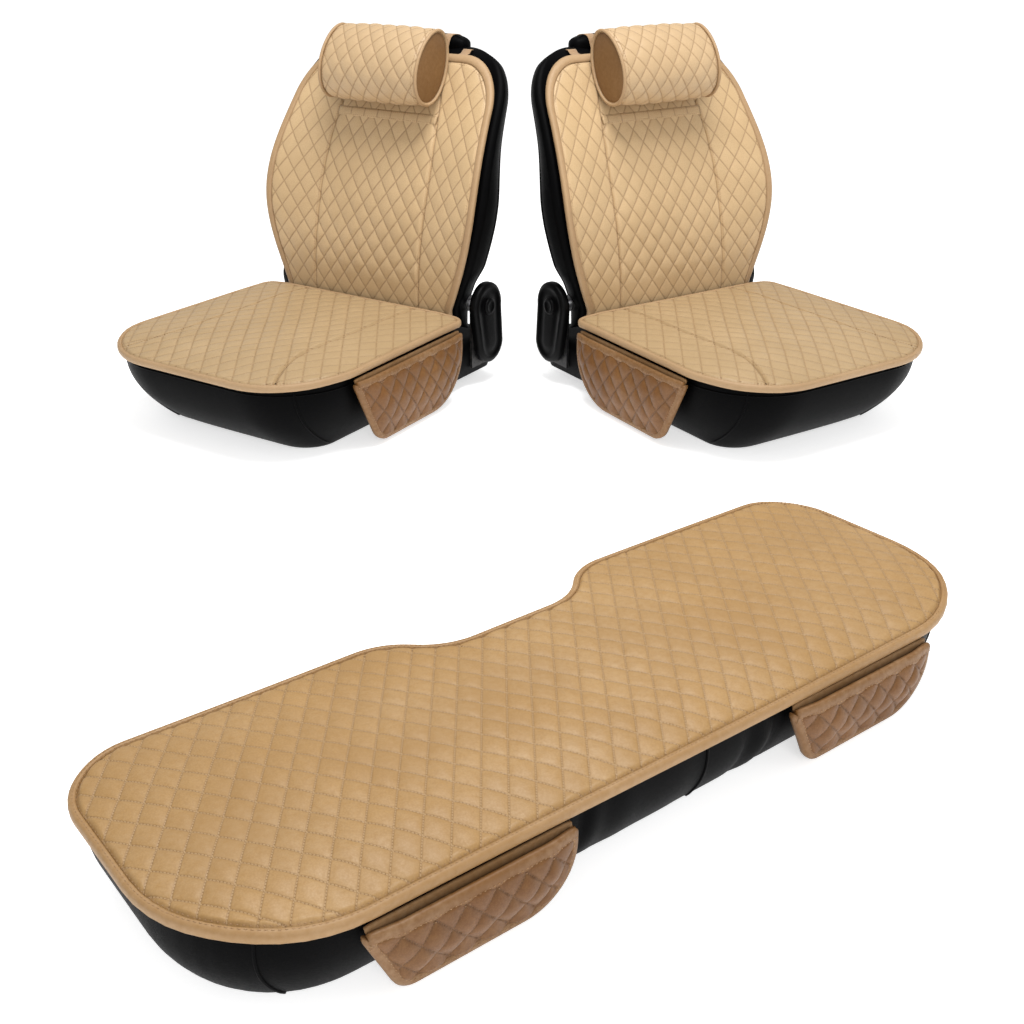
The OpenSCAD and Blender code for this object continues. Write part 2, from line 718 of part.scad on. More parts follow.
for (side = ["left_", "right_"], name = SEAT_NODES)
    front_seat(side) seat_part(name);
for (end = [["bench_left_", -1], ["bench_right_", 1]], name = POCKET_NODES)
    bench() bench_pocket(end[1]) pocket_part(name, bench_pocket_len, bench_pocket_h);
bench() bench_base();
bench() bench_cover();
bench() bench_binding();
bench() bench_anchors();
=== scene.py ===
import bmesh
import bpy
import json
import numpy as np
from math import atan, atan2, ceil, cos, hypot, pi, radians, sin
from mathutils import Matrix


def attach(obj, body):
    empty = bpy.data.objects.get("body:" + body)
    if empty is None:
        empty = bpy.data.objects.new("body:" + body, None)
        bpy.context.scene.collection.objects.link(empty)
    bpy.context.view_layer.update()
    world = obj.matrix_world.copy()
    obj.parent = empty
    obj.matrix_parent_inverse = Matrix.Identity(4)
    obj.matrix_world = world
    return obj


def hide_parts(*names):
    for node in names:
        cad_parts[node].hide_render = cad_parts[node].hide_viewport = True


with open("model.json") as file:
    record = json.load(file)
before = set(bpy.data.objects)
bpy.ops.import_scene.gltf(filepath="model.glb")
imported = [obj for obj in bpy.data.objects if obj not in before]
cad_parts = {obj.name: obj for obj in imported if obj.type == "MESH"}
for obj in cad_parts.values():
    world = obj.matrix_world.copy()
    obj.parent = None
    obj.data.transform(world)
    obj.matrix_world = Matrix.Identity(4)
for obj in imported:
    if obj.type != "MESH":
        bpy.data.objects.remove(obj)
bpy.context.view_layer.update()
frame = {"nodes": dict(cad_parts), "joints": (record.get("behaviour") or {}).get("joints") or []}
joints = {joint["name"]: joint for joint in frame["joints"]}


# All lengths below are millimetres in a seat's own frame: x across, the seat faces -y, z up from the floor
def rowPlace(origin, xWay, flip=1):
    yWay = np.array([-xWay[1], xWay[0]])

    def place(points):
        p = np.asarray(points, float) / 1000
        flat = origin + p[:, :1] * xWay + p[:, 1:2] * yWay
        return np.column_stack([flip * flat[:, 0], flat[:, 1], p[:, 2]])
    place.flipped = flip < 0
    return place


def seatPlace(flip):
    hinge = joints["left_backrest_tilt"]
    xWay = np.array(hinge["axis"][:2])
    crease = np.array(hinge["pos_m"][:2]) - np.array([-xWay[1], xWay[0]]) * back["rollRound"] / 1000
    return rowPlace(crease, xWay, flip)


def benchPlace():
    flaps = [joints["bench_" + side + "_pocket_flap"] for side in ("left", "right")]
    xWay = -np.array(flaps[0]["axis"][:2])
    middle = sum(np.array(flap["pos_m"][:2]) for flap in flaps) / 2
    return rowPlace(middle + np.array([-xWay[1], xWay[0]]) * bench["flapToMiddle"] / 1000, xWay)


# Lines and outlines
def mix(a, b, t):
    return a + (b - a) * t


def smooth(t):
    t = np.clip(t, 0, 1)
    return t * t * (3 - 2 * t)


def unit(v):
    v = np.asarray(v, float)
    return v / np.maximum(np.linalg.norm(v, axis=-1, keepdims=True), 1e-9)


def resample(line, count):
    line = np.asarray(line, float)
    run = np.concatenate([[0], np.cumsum(np.linalg.norm(np.diff(line, axis=0), axis=1))])
    at = np.linspace(0, run[-1], count)
    return np.column_stack([np.interp(at, run, line[:, k]) for k in range(line.shape[1])])


def lineLength(line):
    return float(np.linalg.norm(np.diff(np.asarray(line, float), axis=0), axis=1).sum())


def inset(line, d, closed=True):  # moves a line sideways, to its left
    ahead = np.roll(line, -1, 0) - np.roll(line, 1, 0)
    if not closed:
        ahead[0] = line[1] - line[0]
        ahead[-1] = line[-1] - line[-2]
    ahead = unit(ahead)
    return line + d * np.column_stack([-ahead[:, 1], ahead[:, 0]])


def roundedOutline(corners, radii, d=0.0, step=9.0, arcSteps=12):
    corners = [np.array(c, float) for c in corners]
    count = len(corners)
    runs = [corners[(i + 1) % count] - corners[i] for i in range(count)]
    turns = [np.cross(runs[i - 1], runs[i]) for i in range(count)]
    moved = []
    for i in range(count):
        m, n = (np.array([-w[1], w[0]]) for w in (unit(runs[i - 1]), unit(runs[i])))
        moved.append(corners[i] + (m + n) * d / (1 + m @ n))
    arcs = []
    for i in range(count):
        u, v = unit(moved[i - 1] - moved[i]), unit(moved[(i + 1) % count] - moved[i])
        half = np.arccos(np.clip(u @ v, -1, 1)) / 2
        r = max(1.0, radii[i] - np.sign(turns[i]) * d)
        centre = moved[i] + unit(u + v) * r / sin(half)
        start, end = moved[i] + u * r / np.tan(half) - centre, moved[i] + v * r / np.tan(half) - centre
        begin = atan2(start[1], start[0])
        sweep = (atan2(end[1], end[0]) - begin + 3 * pi) % (2 * pi) - pi
        arc = [begin + sweep * k / arcSteps for k in range(arcSteps + 1)]
        arcs.append([centre + r * np.array([cos(a), sin(a)]) for a in arc])
    line = []
    for i in range(count):
        extra = max(1, int(np.linalg.norm(runs[i]) / step))
        a, b = arcs[i][-1], arcs[(i + 1) % count][0]
        line += arcs[i] + [mix(a, b, k / extra) for k in range(1, extra)]
    return np.array(line)


def coons(sides, step):  # a grid stretched between front, right, rear and left lines
    front, right, rear, left = sides
    across = max(4, ceil(max(lineLength(front), lineLength(rear)) / step))
    along = max(4, ceil(max(lineLength(left), lineLength(right)) / step))
    f, r = resample(front, across + 1)[None], resample(rear, across + 1)[None]
    l, g = resample(left, along + 1)[:, None], resample(right, along + 1)[:, None]
    u, v = np.linspace(0, 1, across + 1)[None, :, None], np.linspace(0, 1, along + 1)[:, None, None]
    corners = mix(mix(f[:, :1], f[:, -1:], u), mix(r[:, :1], r[:, -1:], u), v)
    return mix(f, r, v) + mix(l, g, u) - corners


def edgeDistance(points, lines):
    best = np.full(len(points), 1e9)
    for line in lines:
        line = np.asarray(line, float)
        for a, b in zip(line[:-1], line[1:]):
            w = b - a
            t = np.clip(((points - a) @ w) / max(w @ w, 1e-9), 0, 1)
            best = np.minimum(best, np.hypot(*(points - a - t[:, None] * w).T))
    return best


# Mesh parts: (points, faces, uv)
def gridFaces(rows, columns, around=False, first=0):
    i, j = np.meshgrid(np.arange(rows - 1), np.arange(columns if around else columns - 1), indexing="ij")
    k, low, high = (j + 1) % columns, i * columns, (i + 1) * columns
    return (first + np.stack([low + j, low + k, high + k, high + j], -1)).reshape(-1, 4).tolist()


def joined(*parts):
    points, faces, uv = [], [], []
    for p, f, t in parts:
        start = sum(len(q) for q in points)
        points.append(np.asarray(p, float))
        uv.append(np.asarray(t, float) if t is not None else np.zeros((len(p), 2)))
        faces += [[n + start for n in face] for face in f]
    return np.concatenate(points), faces, np.concatenate(uv)


def mirrored(part):
    p = np.array(part[0], float)
    p[:, 0] *= -1
    return p, [face[::-1] for face in part[1]], part[2]


def closedPad(front, rear, uv):  # front faces the viewer when columns run right and rows run up
    rows, columns = front.shape[:2]
    total = rows * columns
    faces = gridFaces(rows, columns) + [face[::-1] for face in gridFaces(rows, columns, first=total)]
    for i in range(rows - 1):
        a, b = i * columns, (i + 1) * columns
        faces.append([a, b, b + total, a + total])
        a, b = a + columns - 1, b + columns - 1
        faces.append([b, a, a + total, b + total])
    for j in range(columns - 1):
        faces.append([j + 1, j, j + total, j + 1 + total])
        a = (rows - 1) * columns + j
        faces.append([a, a + 1, a + 1 + total, a + total])
    uv = uv.reshape(-1, 2)
    return np.concatenate([front.reshape(-1, 3), rear.reshape(-1, 3)]), faces, np.concatenate([uv, uv])


def loft(rings, capped=(True, True), uv=None):
    rings = np.asarray(rings, float)
    rows, columns = rings.shape[:2]
    points = rings.reshape(-1, 3)
    faces = gridFaces(rows, columns, around=True)
    if uv is None:
        run = np.concatenate([[0], np.cumsum(np.linalg.norm(np.diff(rings[:, 0], axis=0), axis=1))]) / 40
        turn = np.linspace(0, 1, columns)
        uv = np.stack(np.broadcast_arrays(turn[None, :] * 30, run[:, None]), -1)
    uv = uv.reshape(-1, 2)
    for end, ring in ((0, rings[0]), (1, rings[-1])):
        if capped[end]:
            centre = len(points)
            points = np.vstack([points, ring.mean(0)])
            uv = np.vstack([uv, [0, 0]])
            base = 0 if end == 0 else (rows - 1) * columns
            for k in range(columns):
                a, b = base + k, base + (k + 1) % columns
                faces.append([b, a, centre] if end == 0 else [a, b, centre])
    return points, faces, uv


def hoop(rings):  # the last ring meets the first one
    return loft(np.concatenate([rings, rings[:1]]), (False, False))


def sweep(path, profile, up, closed=False):  # profile: (sideways, up) pairs
    path = np.asarray(path, float)
    along = np.roll(path, -1, 0) - np.roll(path, 1, 0)
    if not closed:
        along[0], along[-1] = path[1] - path[0], path[-1] - path[-2]
    along = unit(along)
    side = unit(np.cross(along, up))
    lift = np.cross(side, along)
    rings = np.array([[p + a * s + b * n for a, b in profile] for p, s, n in zip(path, side, lift)])
    return hoop(rings) if closed else loft(rings)


def circle(r, count=10, squash=1.0):
    return [(r * cos(2 * pi * k / count), squash * r * sin(2 * pi * k / count)) for k in range(count)]


def stitches(path, normals, pitch=7.0, long=4.6, wide=1.3, high=0.9):  # one small thread loop after another
    path, normals = np.asarray(path, float), np.asarray(normals, float)
    if normals.ndim == 1:
        normals = np.broadcast_to(normals, path.shape)
    count = max(2, int(lineLength(path) / pitch))
    p = resample(np.hstack([path, normals]), count)
    spot, n = p[:, :3], unit(p[:, 3:])
    along = unit(np.gradient(spot, axis=0))
    side = np.cross(along, n)
    corners = [-along * long / 2 - n * 0.4, side * wide / 2, along * long / 2 - n * 0.4, -side * wide / 2,
               n * high, -n * high]
    points = np.stack([spot + c for c in corners], 1).reshape(-1, 3)
    shape = [[0, 1, 4], [1, 2, 4], [2, 3, 4], [3, 0, 4], [1, 0, 5], [2, 1, 5], [3, 2, 5], [0, 3, 5]]
    faces = [[6 * k + c for c in face] for k in range(count) for face in shape]
    return points, faces, np.zeros((len(points), 2))


def makePiece(name, part, place, material, body, replaced=()):
    points, faces, uv = part
    if place.flipped:
        faces = [face[::-1] for face in faces]
    mesh = bpy.data.meshes.new(name)
    mesh.from_pydata(place(points).tolist(), [], faces)
    layer = mesh.uv_layers.new(name="seam")
    corner = np.empty(len(mesh.loops), np.int32)
    mesh.loops.foreach_get("vertex_index", corner)
    layer.data.foreach_set("uv", np.asarray(uv, np.float32)[corner].ravel())
    shape = bmesh.new()
    shape.from_mesh(mesh)
    bmesh.ops.recalc_face_normals(shape, faces=shape.faces)
    shape.to_mesh(mesh)
    shape.free()
    mesh.polygons.foreach_set("use_smooth", [True] * len(mesh.polygons))
    mesh.materials.append(material)
    piece = bpy.data.objects.new(name, mesh)
    bpy.context.scene.collection.objects.link(piece)
    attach(piece, body)
    if replaced:
        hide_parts(*replaced)


# Node groups
def newGroup(name, inputs, outputs):
    group = bpy.data.node_groups.new(name, "ShaderNodeTree")
    for label, value in inputs.items():
        socket = group.interface.new_socket(name=label, in_out="INPUT", socket_type="NodeSocketFloat")
        socket.default_value = value
    for label in outputs:
        group.interface.new_socket(name=label, in_out="OUTPUT", socket_type="NodeSocketFloat")
    return group, group.nodes.new("NodeGroupInput").outputs, group.nodes.new("NodeGroupOutput")


def fill(tree, socket, value):  # with a number, a colour or what another node gives
    if isinstance(value, bpy.types.NodeSocket):
        tree.links.new(value, socket)
    elif socket.type == "RGBA":
        socket.default_value = (*value[:3], 1)
    else:
        socket.default_value = value


def settle(tree, node, **settings):
    for key, value in settings.items():
        if hasattr(node, key):
            setattr(node, key, value)
        else:
            fill(tree, node.inputs[key.replace("_", " ")], value)
    return node


def addNode(tree, kind, **settings):
    return settle(tree, tree.nodes.new(kind), **settings)


def maths(tree, operation, *values):
    node = addNode(tree, "ShaderNodeMath", operation=operation)
    for socket, value in zip(node.inputs, values):
        fill(tree, socket, value)
    return node.outputs[0]


def times(tree, a, b):
    return maths(tree, "MULTIPLY", a, b)


def plus(tree, a, b):
    return maths(tree, "ADD", a, b)


def minus(tree, a, b):
    return maths(tree, "SUBTRACT", a, b)


def mixColour(tree, mask, a, b):
    node = addNode(tree, "ShaderNodeMix", data_type="RGBA")
    for k, value in ((0, mask), (6, a), (7, b)):
        fill(tree, node.inputs[k], value)
    return node.outputs[2]


def objectSpot(tree):
    return tree.nodes.new("ShaderNodeTexCoord").outputs["Object"]


def noise(tree, vector, scale, detail=3.0, roughness=0.55):
    return addNode(tree, "ShaderNodeTexNoise", Vector=vector, Scale=scale, Detail=detail,
                   Roughness=roughness).outputs["Fac"]


def bump(tree, height, strength, distance):
    return addNode(tree, "ShaderNodeBump", Strength=strength, Distance=distance, Height=height).outputs[0]


# Valley masks the grooves along the stitch lines; the quilted materials paint shade into the colour there
def quiltStitchingGroup():
    tree, given, out = newGroup("quiltStitching", {"Dashes": 9.0, "Thread width": 0.035, "Valley width": 0.11},
                                ("Thread", "Valley", "Height"))
    seam = addNode(tree, "ShaderNodeUVMap", uv_map="seam").outputs[0]
    a, b = addNode(tree, "ShaderNodeSeparateXYZ", Vector=seam).outputs[:2]
    threads, valleys = [], []
    for across, along in ((a, b), (b, a)):
        near = maths(tree, "PINGPONG", across, 0.5)
        line = maths(tree, "LESS_THAN", near, given["Thread width"])
        dash = maths(tree, "LESS_THAN", maths(tree, "FRACT", times(tree, along, given["Dashes"])), 0.66)
        threads.append(times(tree, line, dash))
        away = maths(tree, "MINIMUM", maths(tree, "DIVIDE", near, given["Valley width"]), 1.0)
        valleys.append(minus(tree, 1.0, away))
    thread, dip = maths(tree, "MAXIMUM", *threads), maths(tree, "MAXIMUM", *valleys)
    dip = times(tree, dip, dip)
    settle(tree, out, Thread=thread, Valley=dip, Height=minus(tree, times(tree, thread, 0.45), dip))


def leatherGrainGroup():
    tree, given, out = newGroup("leatherGrain", {"Pebble size": 900.0, "Crease size": 60.0},
                                ("Height", "Mottle", "Pores"))
    spot = objectSpot(tree)
    pebble = addNode(tree, "ShaderNodeTexVoronoi", feature="F1", Vector=spot, Scale=given["Pebble size"])
    crease = noise(tree, spot, given["Crease size"], 5.0, 0.6)
    pores = maths(tree, "MINIMUM", times(tree, pebble.outputs["Distance"], 1.3), 1.0)
    settle(tree, out, Height=plus(tree, times(tree, pores, -0.5), times(tree, crease, 1.1)),
           Mottle=noise(tree, spot, 7.0, 4.0), Pores=pores)


def handWearGroup():
    tree, given, out = newGroup("handWear", {"Amount": 0.5}, ("Worn",))
    spot = objectSpot(tree)
    rub = times(tree, times(tree, noise(tree, spot, 5.0, 2.0), noise(tree, spot, 130.0, 4.0)), 2.2)
    patch = maths(tree, "MAXIMUM", minus(tree, rub, 0.35), 0.0)
    settle(tree, out, Worn=times(tree, patch, given["Amount"]))


def webWeaveGroup():
    tree, given, out = newGroup("webWeave", {"Threads": 900.0}, ("Height", "Shade"))
    spot = objectSpot(tree)
    waves = [addNode(tree, "ShaderNodeTexWave", bands_direction=way, wave_profile="SIN", Vector=spot,
                     Scale=given["Threads"]).outputs["Fac"] for way in ("X", "Z")]
    weave = maths(tree, "MAXIMUM", *waves)
    settle(tree, out, Height=weave, Shade=plus(tree, times(tree, weave, 0.3), 0.7))


for makeGroup in (quiltStitchingGroup, leatherGrainGroup, handWearGroup, webWeaveGroup):
    makeGroup()
print("node groups made")


# Materials
def placeGroup(tree, name, **values):
    return addNode(tree, "ShaderNodeGroup", node_tree=bpy.data.node_groups[name], **values).outputs


def newMaterial(name, **sockets):
    material = bpy.data.materials.new(name)
    material.use_nodes = True
    tree = material.node_tree
    return material, tree, settle(tree, tree.nodes["Principled BSDF"], **sockets)


# deep sets how strongly shade is painted into the quilting's grooves, in the valley colour
quiltLook = {"pebble": 430.0, "dashes": 8.0, "thread": 0.024, "valley": 0.085, "wear": 0.3, "rough": 0.44,
             "deep": 0.74, "dark": (0.34, 0.23, 0.115), "light": (0.435, 0.305, 0.165),
             "worn": (0.5, 0.365, 0.215), "valleyColour": (0.15, 0.078, 0.028),
             "threadColour": (0.4, 0.26, 0.13)}


def quiltedLeather(name, **changes):
    look = dict(quiltLook, **changes)
    material, tree, shader = newMaterial(name, Specular_IOR_Level=0.34, Sheen_Weight=0.03, Sheen_Roughness=0.45)
    grain = placeGroup(tree, "leatherGrain", Pebble_size=look["pebble"], Crease_size=70.0)
    quilt = placeGroup(tree, "quiltStitching", Dashes=look["dashes"], Thread_width=look["thread"],
                       Valley_width=look["valley"])
    worn = placeGroup(tree, "handWear", Amount=look["wear"])["Worn"]
    shade = times(tree, minus(tree, grain["Mottle"], 0.3), 1.3)
    shade = minus(tree, shade, times(tree, grain["Pores"], 0.5))
    colour = mixColour(tree, plus(tree, shade, 0.2), look["dark"], look["light"])
    colour = mixColour(tree, worn, colour, look["worn"])
    # painted shade in the quilting's grooves
    colour = mixColour(tree, times(tree, quilt["Valley"], look["deep"]), colour, look["valleyColour"])
    colour = mixColour(tree, times(tree, quilt["Thread"], 0.8), colour, look["threadColour"])
    rough = plus(tree, times(tree, grain["Pores"], 0.12), look["rough"])
    height = plus(tree, times(tree, grain["Height"], 0.12), times(tree, quilt["Height"], 0.9))
    settle(tree, shader, Base_Color=colour, Roughness=minus(tree, rough, times(tree, worn, 0.1)),
           Normal=bump(tree, height, 0.55, 0.0012))
    return material


tapeLook = {"pebble": 1100.0, "crease": 90.0, "wear": 0.4, "dark": (0.3, 0.186, 0.09),
            "light": (0.39, 0.252, 0.13), "worn": (0.5, 0.35, 0.21), "rough": 0.48, "roughSpread": 0.12,
            "bump": 0.22}
blackLook = {"pebble": 620.0, "crease": 45.0, "wear": 0.25, "dark": (0.0006, 0.0006, 0.0007),
             "light": (0.0016, 0.0016, 0.0018), "worn": (0.004, 0.004, 0.0045), "rough": 0.38,
             "roughSpread": 0.16, "bump": 0.3}


def plainLeather(name, shine, start, **changes):
    look = dict(start, **changes)
    material, tree, shader = newMaterial(name, Specular_IOR_Level=shine)
    grain = placeGroup(tree, "leatherGrain", Pebble_size=look["pebble"], Crease_size=look["crease"])
    worn = placeGroup(tree, "handWear", Amount=look["wear"])["Worn"]
    colour = mixColour(tree, grain["Mottle"], look["dark"], look["light"])
    rough = plus(tree, times(tree, grain["Pores"], look["roughSpread"]), look["rough"])
    settle(tree, shader, Base_Color=mixColour(tree, worn, colour, look["worn"]),
           Roughness=minus(tree, rough, times(tree, worn, 0.12)),
           Normal=bump(tree, grain["Height"], look["bump"], 0.001))
    return material


def wovenWebbing(name, dark, light):
    material, tree, shader = newMaterial(name, Specular_IOR_Level=0.3, Sheen_Weight=0.15, Sheen_Roughness=0.5)
    weave = placeGroup(tree, "webWeave", Threads=420.0)
    worn = placeGroup(tree, "handWear", Amount=0.5)["Worn"]
    colour = mixColour(tree, weave["Shade"], dark, light)
    settle(tree, shader, Base_Color=mixColour(tree, worn, colour, light),
           Roughness=minus(tree, 0.95, times(tree, weave["Height"], 0.25)),
           Normal=bump(tree, weave["Height"], 0.6, 0.0006))
    return material


def brushedSteel(name, dark, light, rough):
    material, tree, shader = newMaterial(name, Metallic=1.0)
    stretch = addNode(tree, "ShaderNodeMapping", Vector=objectSpot(tree), Scale=(6, 6, 160))
    brush = noise(tree, stretch.outputs[0], 12.0, 4.0)
    worn = placeGroup(tree, "handWear", Amount=0.8)["Worn"]
    colour = mixColour(tree, times(tree, worn, 0.8), mixColour(tree, brush, dark, light), (0.22, 0.2, 0.18))
    settle(tree, shader, Base_Color=colour, Roughness=plus(tree, times(tree, brush, 0.25), rough),
           Normal=bump(tree, brush, 0.12, 0.0004))
    return material


leathers = {
    # The back's tan quilt is a lighter copy of the cushion's: painted light on the upright back, which the
    # lamps light less
    "backCentre": quiltedLeather("tanQuiltBack", dark=(0.46, 0.315, 0.165), light=(0.6, 0.425, 0.24)),
    "cushionTop": quiltedLeather("tanQuiltCushion"),
    "benchTop": quiltedLeather("tanQuiltBench", dark=(0.295, 0.168, 0.058), light=(0.395, 0.234, 0.085)),
    "pillow": quiltedLeather("tanQuiltPillow", dark=(0.43, 0.295, 0.162), light=(0.54, 0.385, 0.225)),
    # The pocket's quilt is its own brown leather darkened with painted shade, as are its wear, groove and
    # thread colours
    "pocket": quiltedLeather("brownQuiltPocket", dark=(0.116, 0.044, 0.007), light=(0.198, 0.08, 0.016),
                             worn=(0.34, 0.185, 0.065), valleyColour=(0.055, 0.022, 0.006),
                             threadColour=(0.16, 0.075, 0.025)),
}
finishes = {
    "tape": plainLeather("tanEdgeTape", 0.4, tapeLook),
    "benchTape": plainLeather("tanBenchTape", 0.4, tapeLook, dark=(0.25, 0.136, 0.048),
                              light=(0.325, 0.186, 0.07)),
    # The pockets' tape is a darker copy of the binding tape: painted shade
    "pocketTape": plainLeather("brownEdgeTape", 0.4, tapeLook, dark=(0.12, 0.05, 0.01),
                               light=(0.19, 0.085, 0.02)),
    # The end caps are darker than the pillow: partly their own brown leather, partly painted shade of the ends
    "cap": plainLeather("brownPillowCap", 0.45, tapeLook, dark=(0.12, 0.053, 0.012),
                        light=(0.175, 0.083, 0.022), worn=(0.32, 0.18, 0.075)),
    "lining": plainLeather("pocketLining", 0.25, tapeLook, dark=(0.16, 0.08, 0.028),
                           light=(0.24, 0.13, 0.05), rough=0.7),
    "thread": plainLeather("tanThread", 0.3, tapeLook, pebble=2400.0, dark=(0.3, 0.175, 0.085),
                           light=(0.4, 0.24, 0.12), rough=0.6),
    "blackLeather": plainLeather("blackLeather", 0.03, blackLook),
    "blackPlastic": plainLeather("blackPlastic", 0.09, blackLook, pebble=2600.0, rough=0.32, bump=0.12),
    "webbing": wovenWebbing("tanWebbing", (0.22, 0.13, 0.065), (0.36, 0.225, 0.12)),
    "darkWebbing": wovenWebbing("brownWebbing", (0.16, 0.09, 0.04), (0.3, 0.18, 0.09)),
    "steel": brushedSteel("bracketSteel", (0.03, 0.03, 0.032), (0.06, 0.06, 0.062), 0.36),
    "bareSteel": brushedSteel("pinSteel", (0.5, 0.5, 0.51), (0.68, 0.68, 0.7), 0.2),
}
print("materials made:", len(leathers) + len(finishes))


# Quilting
def cellChance(a, b):  # the same small difference for a diamond each time
    return np.abs(np.sin(np.floor(a) * 12.9898 + np.floor(b) * 78.233) * 43758.5453) % 1


def quiltedPanel(sides, surface, quilt):
    grid = coons(sides, quilt["step"])
    x, y = grid[..., 0] - quilt.get("shiftX", 0), grid[..., 1] - quilt.get("shiftY", 0)
    a, b = x / quilt["wide"] + y / quilt["tall"], x / quilt["wide"] - y / quilt["tall"]
    near = edgeDistance(grid.reshape(-1, 2), sides).reshape(a.shape)
    dome = (np.abs(np.sin(pi * a)) * np.abs(np.sin(pi * b))) ** quilt["sharp"]
    puff = quilt["puff"] * dome * (0.86 + 0.28 * cellChance(a, b))
    slump = 0.5 * np.sin(x / 37 + 1.3 * np.sin(y / 53)) + 0.4 * np.sin(y / 29 + x / 71)
    up = puff * smooth(near / quilt["edge"]) + slump * smooth(near / 30) - 3.2 * (1 - smooth(near / 7))
    front, rear = (surface(grid[..., 0], grid[..., 1], height) for height in (up, -quilt["thick"]))
    return closedPad(front, rear, np.stack([a, b], -1))


def tapeAround(lineAt, profile, surface, closed):
    lines = [lineAt(d) for d, up in profile]
    rings = np.stack([surface(line[:, 0], line[:, 1], np.full(len(line), float(up)))
                      for line, (d, up) in zip(lines, profile)], 1)
    return hoop(rings) if closed else loft(rings)


def surfaceStitches(line, surface, up, **size):
    line = resample(line, max(8, int(lineLength(line) / 5)))
    height = np.full(len(line), float(up))
    spots = surface(line[:, 0], line[:, 1], height)
    normals = unit(surface(line[:, 0], line[:, 1], height + 5) - spots)
    return stitches(spots, normals, **size)


def closedLine(line):
    return np.vstack([line, line[:1]])


def nearest(line, point):
    return int(np.argmin(np.hypot(line[:, 0] - point[0], line[:, 1] - point[1])))


def partOf(line, start, end):  # from one point on to another, going round
    count = (end - start) % len(line)
    return line[(start + np.arange(count + 1)) % len(line)]


def fourSides(ring, cuts):  # front, right, rear and left lines
    a, b, c, d = cuts
    return [partOf(ring, a, b), partOf(ring, b, c), partOf(ring, c, d)[::-1], partOf(ring, d, a)[::-1]]


cover = {"thick": 22, "seam": 15, "slimSeam": 9.5, "tapeHigh": 22}
wideTape = [(17, -4), (15.5, 0.2), (12, 1.9), (7, 2.3), (3, 1.4), (0.6, -1.4), (0, -5), (0.4, -10), (2.5, -13),
            (17, -13)]
slimTape = [(11, -4), (10, 0.4), (8, 1.6), (5, 1.9), (2.4, 1.1), (0.5, -1.4), (0, -5), (0.4, -10), (2, -13),
            (11, -13)]


# Seat cushion
cushion = {"rearWide": 620, "frontWide": 650, "deep": 608, "top": 200, "frontRound": 190, "rearRound": 30,
           "gap": 12, "seamX": 170, "seamFlare": 80, "seamRun": 210, "crown": 9, "frontDrop": 12}
cushionQuilt = {"wide": 46, "tall": 62, "puff": 3.7, "sharp": 0.34, "edge": 6, "thick": 12, "step": 3.0}


def cushionOutline(d=0.0):
    f, r = cushion["frontWide"] / 2, cushion["rearWide"] / 2
    rear, front = -cushion["gap"], -cushion["gap"] - cushion["deep"]
    rounds = [cushion["frontRound"]] * 2 + [cushion["rearRound"]] * 2
    return roundedOutline([(-f, front), (f, front), (r, rear), (-r, rear)], rounds, d)


def cushionSurface(x, y, up):
    fromFront = (y + cushion["gap"] + cushion["deep"]) / cushion["deep"]
    crown = cushion["crown"] * (1 - (x / 330) ** 2) * smooth(fromFront * 2.2) * smooth((1 - fromFront) * 5)
    dip = 5 * np.exp(-((x / 150) ** 2 + ((fromFront - 0.62) / 0.22) ** 2))
    drop = cushion["frontDrop"] * (1 - smooth(fromFront / 0.24)) + 5 * (1 - smooth((320 - np.abs(x)) / 90))
    return np.stack([x, y, cushion["top"] - 2 + crown - dip - drop + up], -1)


def cushionPanels():
    ring = cushionOutline(cover["slimSeam"])
    front = -cushion["gap"] - cushion["deep"]
    t = np.linspace(1.1, 0, 80)
    seam = np.column_stack([cushion["seamX"] + cushion["seamFlare"] * t * t,
                            front + cushion["seamRun"] * (1 - t)])
    seam = np.vstack([seam, [cushion["seamX"], -cushion["gap"] - cover["slimSeam"]]])
    reach = np.array([np.hypot(*(ring - p).T).min() for p in seam[:40]])
    start = int(np.argmin(reach))
    corner = nearest(ring, seam[start])
    seam = np.vstack([ring[corner:corner + 1], seam[start + 1:]])
    flipped = seam * [-1, 1]
    left = nearest(ring, flipped[0])
    centre = [partOf(ring, left, corner), seam, np.array([flipped[-1], seam[-1]]), flipped]
    inward = cover["slimSeam"] + 4
    rearCorner = nearest(ring, (cushion["rearWide"] / 2 - inward, -cushion["gap"] - inward))
    arcEnd = corner + 9
    rear = np.vstack([seam[-1:], partOf(ring, rearCorner, nearest(ring, seam[-1]))[::-1][1:]])
    side = [partOf(ring, corner, arcEnd), partOf(ring, arcEnd, rearCorner), rear, seam]
    return (quiltedPanel(centre, cushionSurface, cushionQuilt),
            quiltedPanel(side, cushionSurface, dict(cushionQuilt, puff=2.2)), seam)


def cushionCover():
    centre, side, seam = cushionPanels()
    tape = tapeAround(cushionOutline, slimTape, cushionSurface, True)
    rows = [surfaceStitches(closedLine(cushionOutline(d)), cushionSurface, up)
            for d, up in ((6.5, 1.9), (15, 1.0))]
    seams = [surfaceStitches(inset(seam, d, False), cushionSurface, 0.6, pitch=6.0) for d in (-4.5, 4.5)]
    return {"centre": centre, "sides": joined(side, mirrored(side)), "tape": tape,
            "threads": joined(*rows, *seams, *[mirrored(row) for row in seams])}


# Seat back cover
back = {"bottomWide": 510, "midWide": 632, "topWide": 570, "high": 557, "midHigh": 250, "taper": 307,
        "shoulderHigh": 110, "shoulderWide": 110, "lean": 195, "leanPower": 1.8, "bolster": 32, "seamX": 160,
        "seamSweep": 42, "yokeHigh": 418, "rollRound": 85, "tail": 40}
backQuilt = {"wide": 44, "tall": 57, "puff": 4.2, "sharp": 0.38, "edge": 6, "thick": 14, "step": 3.0,
             "shiftY": 20}


def leanAt(s):
    return back["lean"] * (np.maximum(s, 0) / back["high"]) ** back["leanPower"]


